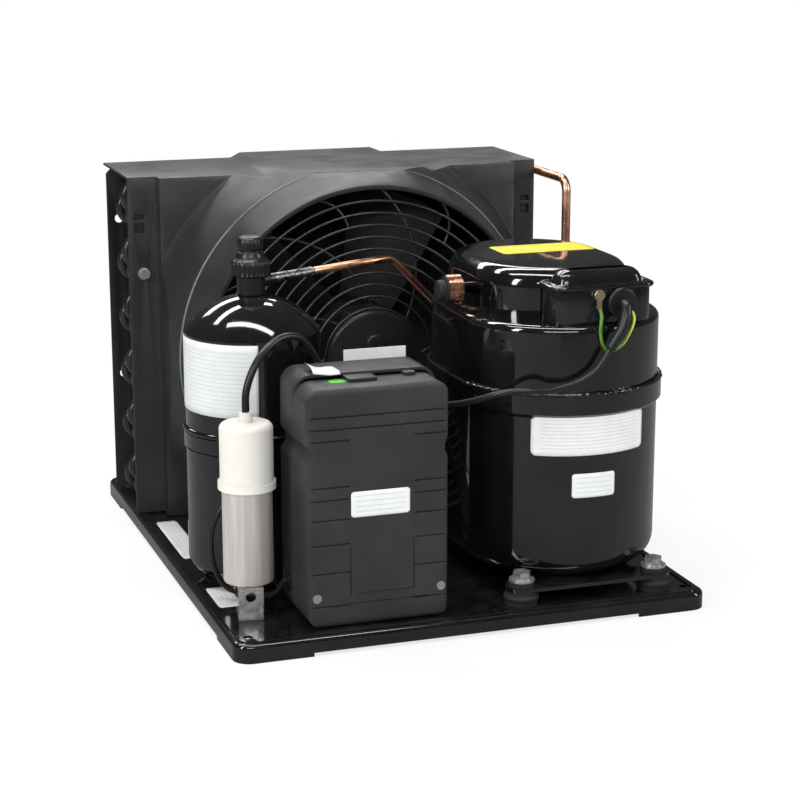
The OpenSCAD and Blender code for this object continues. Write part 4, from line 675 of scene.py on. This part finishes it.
def make_labels():
    """The stickers of the photograph, plain or with faint rules."""
    stick("label_compressor", WHITE_LABEL, "compressor_lower_shell", (101, -240, 152),
          (1, 0, 0), (0, 0, 1), (96, 32), (0, 1, 0), cells=(40, 10))
    stick("label_compressor_small", SMALL_LABEL, "compressor_lower_shell", (102, -240, 111),
          (1, 0, 0), (0, 0, 1), (37, 20), (0, 1, 0))
    stick("label_lid", YELLOW_LABEL, "compressor_upper_shell", (115, -88, 290),
          (1, 0, 0), (0, 1, 0), (84, 38), (0, 0, -1))
    wrap("label_receiver", RECEIVER_LABEL, RECEIVER, 56.1, -204, -100, 163, 223)
    stick("label_base_long", SMALL_LABEL, "base_plate", (-179, 29, 30), (0, -1, 0), (1, 0, 0),
          (112, 19), (0, 0, -1), cells=(20, 12))
    stick("label_base_short", SMALL_LABEL, "base_plate", (-180, -134, 30), (0, -1, 0), (1, 0, 0),
          (50, 20), (0, 0, -1), cells=(12, 12))
    stick("label_box", SMALL_LABEL, "box_front_cover", (-79, -240, 114.5), (1, 0, 0), (0, 0, 1),
          (48, 20.5), (0, 1, 0), body="box_cover", lift=0.2)
    # Oval green sticker on top of the box's front cover
    rows = [[mm(-106 + r * 7.4 * math.cos(t), -211.5 + r * 6 * math.sin(t), 207.45)
             for t in [2 * math.pi * k / 36 for k in range(37)]] for r in (1.0, 0.7, 0.35, 0.02)]
    ride(grid_mesh("spot_green", rows, GREEN_DOT), "box_cover")


make_labels()


# ---------------------------------------------------------------- small forms
def oval_path(radius, run, centre, z):
    """Closely spaced points round an oval: two half circles with a straight run between them."""
    steps, spacing = 36, 1.6
    out = []
    for half in (0, 1):
        for k in range(steps + 1):
            a = math.pi * (half + k / steps)
            y = run / 2 if half == 0 else -run / 2
            out.append((centre[0] + radius * math.cos(a), centre[1] + y + radius * math.sin(a)))
    dense = []
    for (x0, y0), (x1, y1) in zip(out, out[1:] + out[:1]):
        gap = math.hypot(x1 - x0, y1 - y0)
        n = max(1, round(gap / spacing))
        dense += [mm(x0 + (x1 - x0) * i / n, y0 + (y1 - y0) * i / n, z) for i in range(n)]
    return dense


def weld_bead(name, path, width):
    """A rough run of weld metal round a closed path."""
    sides, verts, faces = 8, [], []
    n = len(path)
    for i, p in enumerate(path):
        heading = (path[(i + 1) % n] - path[i - 1]).normalized()
        side = heading.cross(Vector((0, 0, 1))).normalized()
        for k in range(sides):
            t = 2 * math.pi * k / sides
            lump = noise.noise(p * 300 + Vector((k * 0.5, 0, 0))) * 0.6
            ripple = 0.14 * math.sin(i * 1.9 + noise.noise(p * 60) * 5)
            r = width * (1 + lump + ripple) * MM
            verts.append(p + r * (math.cos(t) * side + 0.75 * math.sin(t) * Vector((0, 0, 1))))
    for i in range(n):
        for k in range(sides):
            a, b = i * sides + k, i * sides + (k + 1) % sides
            c, d = ((i + 1) % n) * sides + k, ((i + 1) % n) * sides + (k + 1) % sides
            faces.append((a, b, d, c))
    obj = new_object(name, verts, faces, WELD_BLACK)
    return ride(obj, "unit")


def ring_path(centre, radius, z):
    """Points round a circle."""
    steps = 150
    return [mm(centre[0] + radius * math.cos(2 * math.pi * k / steps),
               centre[1] + radius * math.sin(2 * math.pi * k / steps), z) for k in range(steps)]


def inset_outline(w, d, r, inset):
    """Points of a rounded rectangle, pulled in on all sides, with its corners kept soft."""
    per = 8
    a, b = w / 2 - inset, d / 2 - inset
    c = max(r - 0.45 * inset, 4.5)
    out = []
    for q, (sx, sy) in enumerate(((1, 1), (-1, 1), (-1, -1), (1, -1))):
        for k in range(per + 1):
            t = math.pi / 2 * (q + k / per)
            out.append((sx * (a - c) + c * math.cos(t), sy * (b - c) + c * math.sin(t)))
    return out


def lofted(name, rings, material, caps=True):
    """A skin through rings of points, closed at both ends or open."""
    n = len(rings[0])
    faces = skin(len(rings), n) + (end_caps(len(rings), n) if caps else [])
    return new_object(name, [p for ring in rings for p in ring], faces, material)


def make_compressor_details():
    """Weld beads on both shells, the pillow of the terminal cover and its frame's rolled lip."""
    weld_bead("weld_compressor", oval_path(86.0, 56, COMPRESSOR, 186.2), 2.0)
    weld_bead("weld_receiver", ring_path(RECEIVER, 56.5, 144.8), 1.5)
    weld_bead("weld_receiver_low", ring_path(RECEIVER, 56.4, 129.6), 1.0)
    cx, cy, w, d, z0, z1 = footprint("terminal_cover")
    # Inset, and height as a share of the node's own
    steps = [(0.0, 0.0), (0.0, 0.2), (0.4, 0.42), (1.4, 0.55), (2.4, 0.5), (3.0, 0.3),
             (3.6, 0.32), (4.1, 0.6), (5.0, 0.9), (6.8, 1.2), (9.5, 1.42), (12.5, 1.52),
             (15.5, 1.55)]
    rings = [[mm(cx + x, cy + y, z0 + share * (z1 - z0)) for x, y in
              inset_outline(w, d, TERMINAL_CORNER, inset)] for inset, share in steps]
    cover = lofted("terminal_pillow", rings, BLACK_GLOSS)
    ride(cover, "terminal_cover", "terminal_cover")
    # Rolled lip round the frame's mouth: inset, and height from its top
    cx, cy, w, d, _, top = footprint("terminal_frame")
    prof = [(1.5, -4.4), (-0.7, -4.0), (-1.5, -3.0), (-1.6, -1.8), (-1.0, -0.7), (0.2, -0.1),
            (1.5, -0.3)]
    rings = [[mm(cx + x, cy + y, top + dz) for x, y in
              inset_outline(w, d, TERMINAL_CORNER, inset)] for inset, dz in prof]
    ride(lofted("terminal_lip", rings, BLACK_GLOSS, caps=False), "unit")


make_compressor_details()


def make_valve_cap():
    """Ribbed cap with a flared neck and a round knob."""
    _, _, width, _, z0, z1 = footprint("valve_cap")
    big = width / 2
    h = z1 - z0
    prof = [(big - 1.6, 0), (big - 0.7, 0.6), (big - 0.7, 11.2), (big - 1.3, 12.0),
            (big - 1.9, 12.5), (12.2, 14.6), (11.2, 17.4), (10.6, 18.8), (9.4, 19.6),
            (9.2, 20.4), (9.9, 21.2), (10.6, 22.8), (10.6, h - 5.2), (10.0, h - 2.4),
            (8.2, h - 0.7), (5.5, h), (2.0, h)]
    dense = []
    for (r0, a), (r1, b) in zip(prof, prof[1:]):
        for i in range(3):
            dense.append((r0 + (r1 - r0) * i / 3, a + (b - a) * i / 3))
    dense.append(prof[-1])

    def ribs(i, t):
        high = dense[i][1]
        if 0.4 < high < 11.9:
            return -0.5 + 0.75 * max(0.0, math.cos(t * 26)) ** 0.6
        if high > 22:
            return 0.18 * math.cos(t * 12)
        return 0

    points = [(r * MM, z * MM) for r, z in dense]
    cap = turned("valve_cap_ribbed", points, BLACK_PLASTIC, mm(*RECEIVER, z0), (0, 0, 1), 208,
                 lambda i, t: ribs(i, t) * MM)
    ride(cap, "valve_cap", "valve_cap")


make_valve_cap()


def make_liquid_line():
    """The bare copper line from the valve round to the coil, in one smooth run."""
    turn = math.radians(26)
    heading = Vector((math.cos(turn), math.sin(turn), 0))
    port = Vector((*RECEIVER, 264.3))
    lo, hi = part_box("liquid_line")
    x_end, y_end = hi.x / MM - PIPE_R, hi.y / MM - PIPE_R
    low_z = lo.z / MM + PIPE_R
    start = port + heading * 61.3
    route = [start, port + heading * 160, Vector((52, 1.5, 218)), Vector((52, 1.5, low_z)),
             Vector((x_end, 1.5, low_z)), Vector((x_end, y_end, low_z)),
             Vector((175, y_end, low_z))]
    path = [p * MM for p in rounded(route, 16, 9)]
    pipe = tube("pipe_liquid", path, PIPE_R * MM, COPPER, 20)
    ride(pipe, "unit", "liquid_line")
    # Brazed joint where the steel tail takes the copper
    at = port + heading * 66.4
    joint = turned("braze_liquid", [(3.5 * MM, -2.2 * MM), (4.25 * MM, -1.4 * MM),
                                    (4.35 * MM, 0), (4.1 * MM, 0.8 * MM), (3.45 * MM, 2.0 * MM)],
                   STEEL, at * MM, heading, 28,
                   lambda i, t: 0.12 * MM * math.sin(3 * t + i))
    ride(joint, "unit")


make_liquid_line()


def make_fins():
    """Closely spaced fins with slightly bent edges, in the block that the coil's fins fill."""
    lo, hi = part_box("condenser_fins")
    pitch, n_z = 2.4 * MM, 16
    count = int((hi.x - lo.x) / pitch)
    verts, faces = [], []
    for f in range(count + 1):
        x = lo.x + 0.5 * MM + (hi.x - lo.x - 1.0 * MM) * f / count
        for i in range(n_z + 1):
            z = lo.z + (hi.z - lo.z) * i / n_z
            for y, edge in ((lo.y, 1), (lo.y + 2 * MM, 0), (hi.y - 2 * MM, 0), (hi.y, 1)):
                bend = 0.5 * MM * edge * noise.noise(Vector((x * 90, y * 20, z * 60)))
                xx = min(max(x + bend, lo.x + 0.45 * MM), hi.x - 0.45 * MM)
                verts.append(Vector((xx, y, z)))
    for f in range(count + 1):
        base = f * (n_z + 1) * 4
        for i in range(n_z):
            for j in range(3):
                a = base + i * 4 + j
                faces.append((a, a + 1, a + 5, a + 4))
    fins = new_object("fins_fine", verts, faces, FIN_BLACK, smooth=False)
    sheet = fins.modifiers.new("sheet", "SOLIDIFY")
    sheet.thickness = 0.4 * MM
    sheet.offset = 1
    ride(fins, "unit", "condenser_fins")


make_fins()


def make_collar_ridge():
    """The pressed edge on the collar's slope, left and right of the raised top, as a thin tube in
    a light grey tone that paints the edge's highlight.
    """
    tree, radius = tree_of("fan_shroud"), 165.7
    for name, first, last in (("ridge_left_painted_highlight", 107, 226), ("ridge_right_painted_highlight", -46, 73)):
        path = []
        for k in range(61):
            a = math.radians(first + (last - first) * k / 60)
            top = mm(COLLAR[0] + radius * math.cos(a), -120, COLLAR[1] + radius * math.sin(a))
            hit = tree.ray_cast(top, Vector((0, 1, 0)), 0.4)[0]
            if hit is not None:
                path.append(hit)
        # Each tube carries the light grey tone: a painted highlight along the collar's edge
        rim = tube(name, path, lambda s: (0.2 + 0.95 * math.sin(math.pi * s) ** 0.4) * MM,
                   RIDGE_PAINTED_HIGHLIGHT, 12)
        ride(rim, "unit")


make_collar_ridge()


def make_box_details():
    """Paper slip, and dark strips on the electrical box's cover that paint the shade in its thin
    pressed lines.
    """
    # Folded paper slip laid over the step beside the tongue
    across = [(-178, 212.0), (-184, 212.8), (-190, 213.2), (-196, 213.1), (-200, 212.3),
              (-201.3, 210.6)]
    rows = []
    for i in range(13):
        s = i / 12
        curl = max(0.0, 1 - s * 1.7) ** 2
        rows.append([mm(-123 + 22 * s, y - 2.2 * s - 1.5 * curl,
                        z + curl * (4.6 - 0.5 * j) + 0.25 * math.sin(9 * s + j))
                     for j, (y, z) in enumerate(across)])
    ride(grid_mesh("paper_slip", rows, PLAIN_LABEL), "unit")
    face_y = -235.12

    # Each pressed line is a thin dark sheet on the cover's face: painted shade in the groove
    def line(name, x0, z0, x1, z1, wide=0.55):
        across = Vector((z1 - z0, 0, -(x1 - x0))).normalized() * wide / 2
        a, b = Vector((x0, face_y, z0)), Vector((x1, face_y, z1))
        rows = [[(a + across) * MM, (a * 0.5 + b * 0.5 + across) * MM, (b + across) * MM],
                [(a - across) * MM, (a * 0.5 + b * 0.5 - across) * MM, (b - across) * MM]]
        ride(grid_mesh(name, rows, BLACK_PLASTIC), "box_cover")

    line("panel_left_painted_shade", -103.5, 42, -103.5, 97)
    line("panel_right_painted_shade", -51.5, 42, -51.5, 97)
    line("panel_foot_painted_shade", -103.5, 42, -51.5, 42)
    line("cover_foot_painted_shade", -120, 34.5, -40, 34.5, 0.8)


make_box_details()


# ---------------------------------------------------------------- stage and light
def make_stage():
    """White floor and backdrop, softer in what the part mirrors, and six lamps."""
    s = Shader("studio_floor", (0.88, 0.88, 0.88), 0.7)
    s.vary_color((0.87, 0.87, 0.87), (0.89, 0.89, 0.89), scale=3)
    seen = s.node("ShaderNodeLightPath")
    white = s.node("ShaderNodeEmission")
    white.inputs["Color"].default_value = (1, 1, 1, 1)
    blend = s.node("ShaderNodeMixShader")
    place = s.node("ShaderNodeVectorMath", operation="LENGTH")
    s.link(s.object, place.inputs[0])
    far = s.remap(place.outputs["Value"], 0.45, 1.1, 0.76, 1.0)
    s.link(s.math("MULTIPLY", seen.outputs["Is Camera Ray"], far), blend.inputs["Fac"])
    dim = s.node("ShaderNodeBsdfDiffuse")
    dim.inputs["Color"].default_value = (0.1, 0.1, 0.1, 1)
    mirrored = s.node("ShaderNodeMixShader")
    s.link(s.math("MULTIPLY", seen.outputs["Is Glossy Ray"], 0.85), mirrored.inputs["Fac"])
    s.link(s.bsdf.outputs["BSDF"], mirrored.inputs[1])
    s.link(dim.outputs["BSDF"], mirrored.inputs[2])
    s.link(mirrored.outputs["Shader"], blend.inputs[1])
    s.link(white.outputs["Emission"], blend.inputs[2])
    s.link(blend.outputs["Shader"], s.t.nodes["Material Output"].inputs["Surface"])
    bm = bmesh.new()
    bmesh.ops.create_grid(bm, x_segments=2, y_segments=2, size=12)
    mesh = bpy.data.meshes.new("floor")
    bm.to_mesh(mesh)
    bm.free()
    floor = placed(mesh, s.mat)

    world = bpy.data.worlds.new("studio")
    world.use_nodes = True
    t = world.node_tree
    back = t.nodes["Background"]
    back.inputs["Color"].default_value = (1, 1, 1, 1)
    back.inputs["Strength"].default_value = 0.3
    white = t.nodes.new("ShaderNodeBackground")
    white.inputs["Color"].default_value = (1, 1, 1, 1)
    white.inputs["Strength"].default_value = 1.0
    dark = t.nodes.new("ShaderNodeBackground")
    dark.inputs["Strength"].default_value = 0.07
    path = t.nodes.new("ShaderNodeLightPath")
    shine = t.nodes.new("ShaderNodeMixShader")
    mixer = t.nodes.new("ShaderNodeMixShader")
    t.links.new(path.outputs["Is Glossy Ray"], shine.inputs["Fac"])
    t.links.new(back.outputs["Background"], shine.inputs[1])
    t.links.new(dark.outputs["Background"], shine.inputs[2])
    t.links.new(path.outputs["Is Camera Ray"], mixer.inputs["Fac"])
    t.links.new(shine.outputs["Shader"], mixer.inputs[1])
    t.links.new(white.outputs["Background"], mixer.inputs[2])
    t.links.new(mixer.outputs["Shader"], t.nodes["World Output"].inputs["Surface"])
    scene.world = world

    def lamp(name, place, aim, size, power):
        data = bpy.data.lights.new(name, "AREA")
        data.shape = "RECTANGLE"
        data.size, data.size_y = size
        data.energy = power
        obj = bpy.data.objects.new(name, data)
        obj.location = place
        obj.rotation_euler = (Vector(aim) - Vector(place)).to_track_quat("-Z", "Y").to_euler()
        scene.collection.objects.link(obj)

    lamp("soft_left", (-1.9, -0.9, 1.2), (0, -0.05, 0.15), (0.3, 1.4), 22)
    lamp("soft_right", (1.9, -1.3, 1.1), (0, -0.05, 0.15), (0.25, 1.3), 15)
    lamp("strip_back", (-0.2, 0.9, 1.7), (0, 0, 0.2), (1.9, 0.2), 16)
    lamp("strip_top", (-0.2, -0.3, 1.9), (0, 0, 0.1), (1.8, 0.22), 18)
    lamp("glare_back", (0.1, 2.5, 1.75), (0, 0.1, 0.3), (2.4, 0.5), 20)
    lamp("soft_front", (-0.6, -2.4, 1.5), (0, 0, 0.15), (1.7, 0.3), 20)


make_stage()

scene.view_settings.view_transform = "Standard"
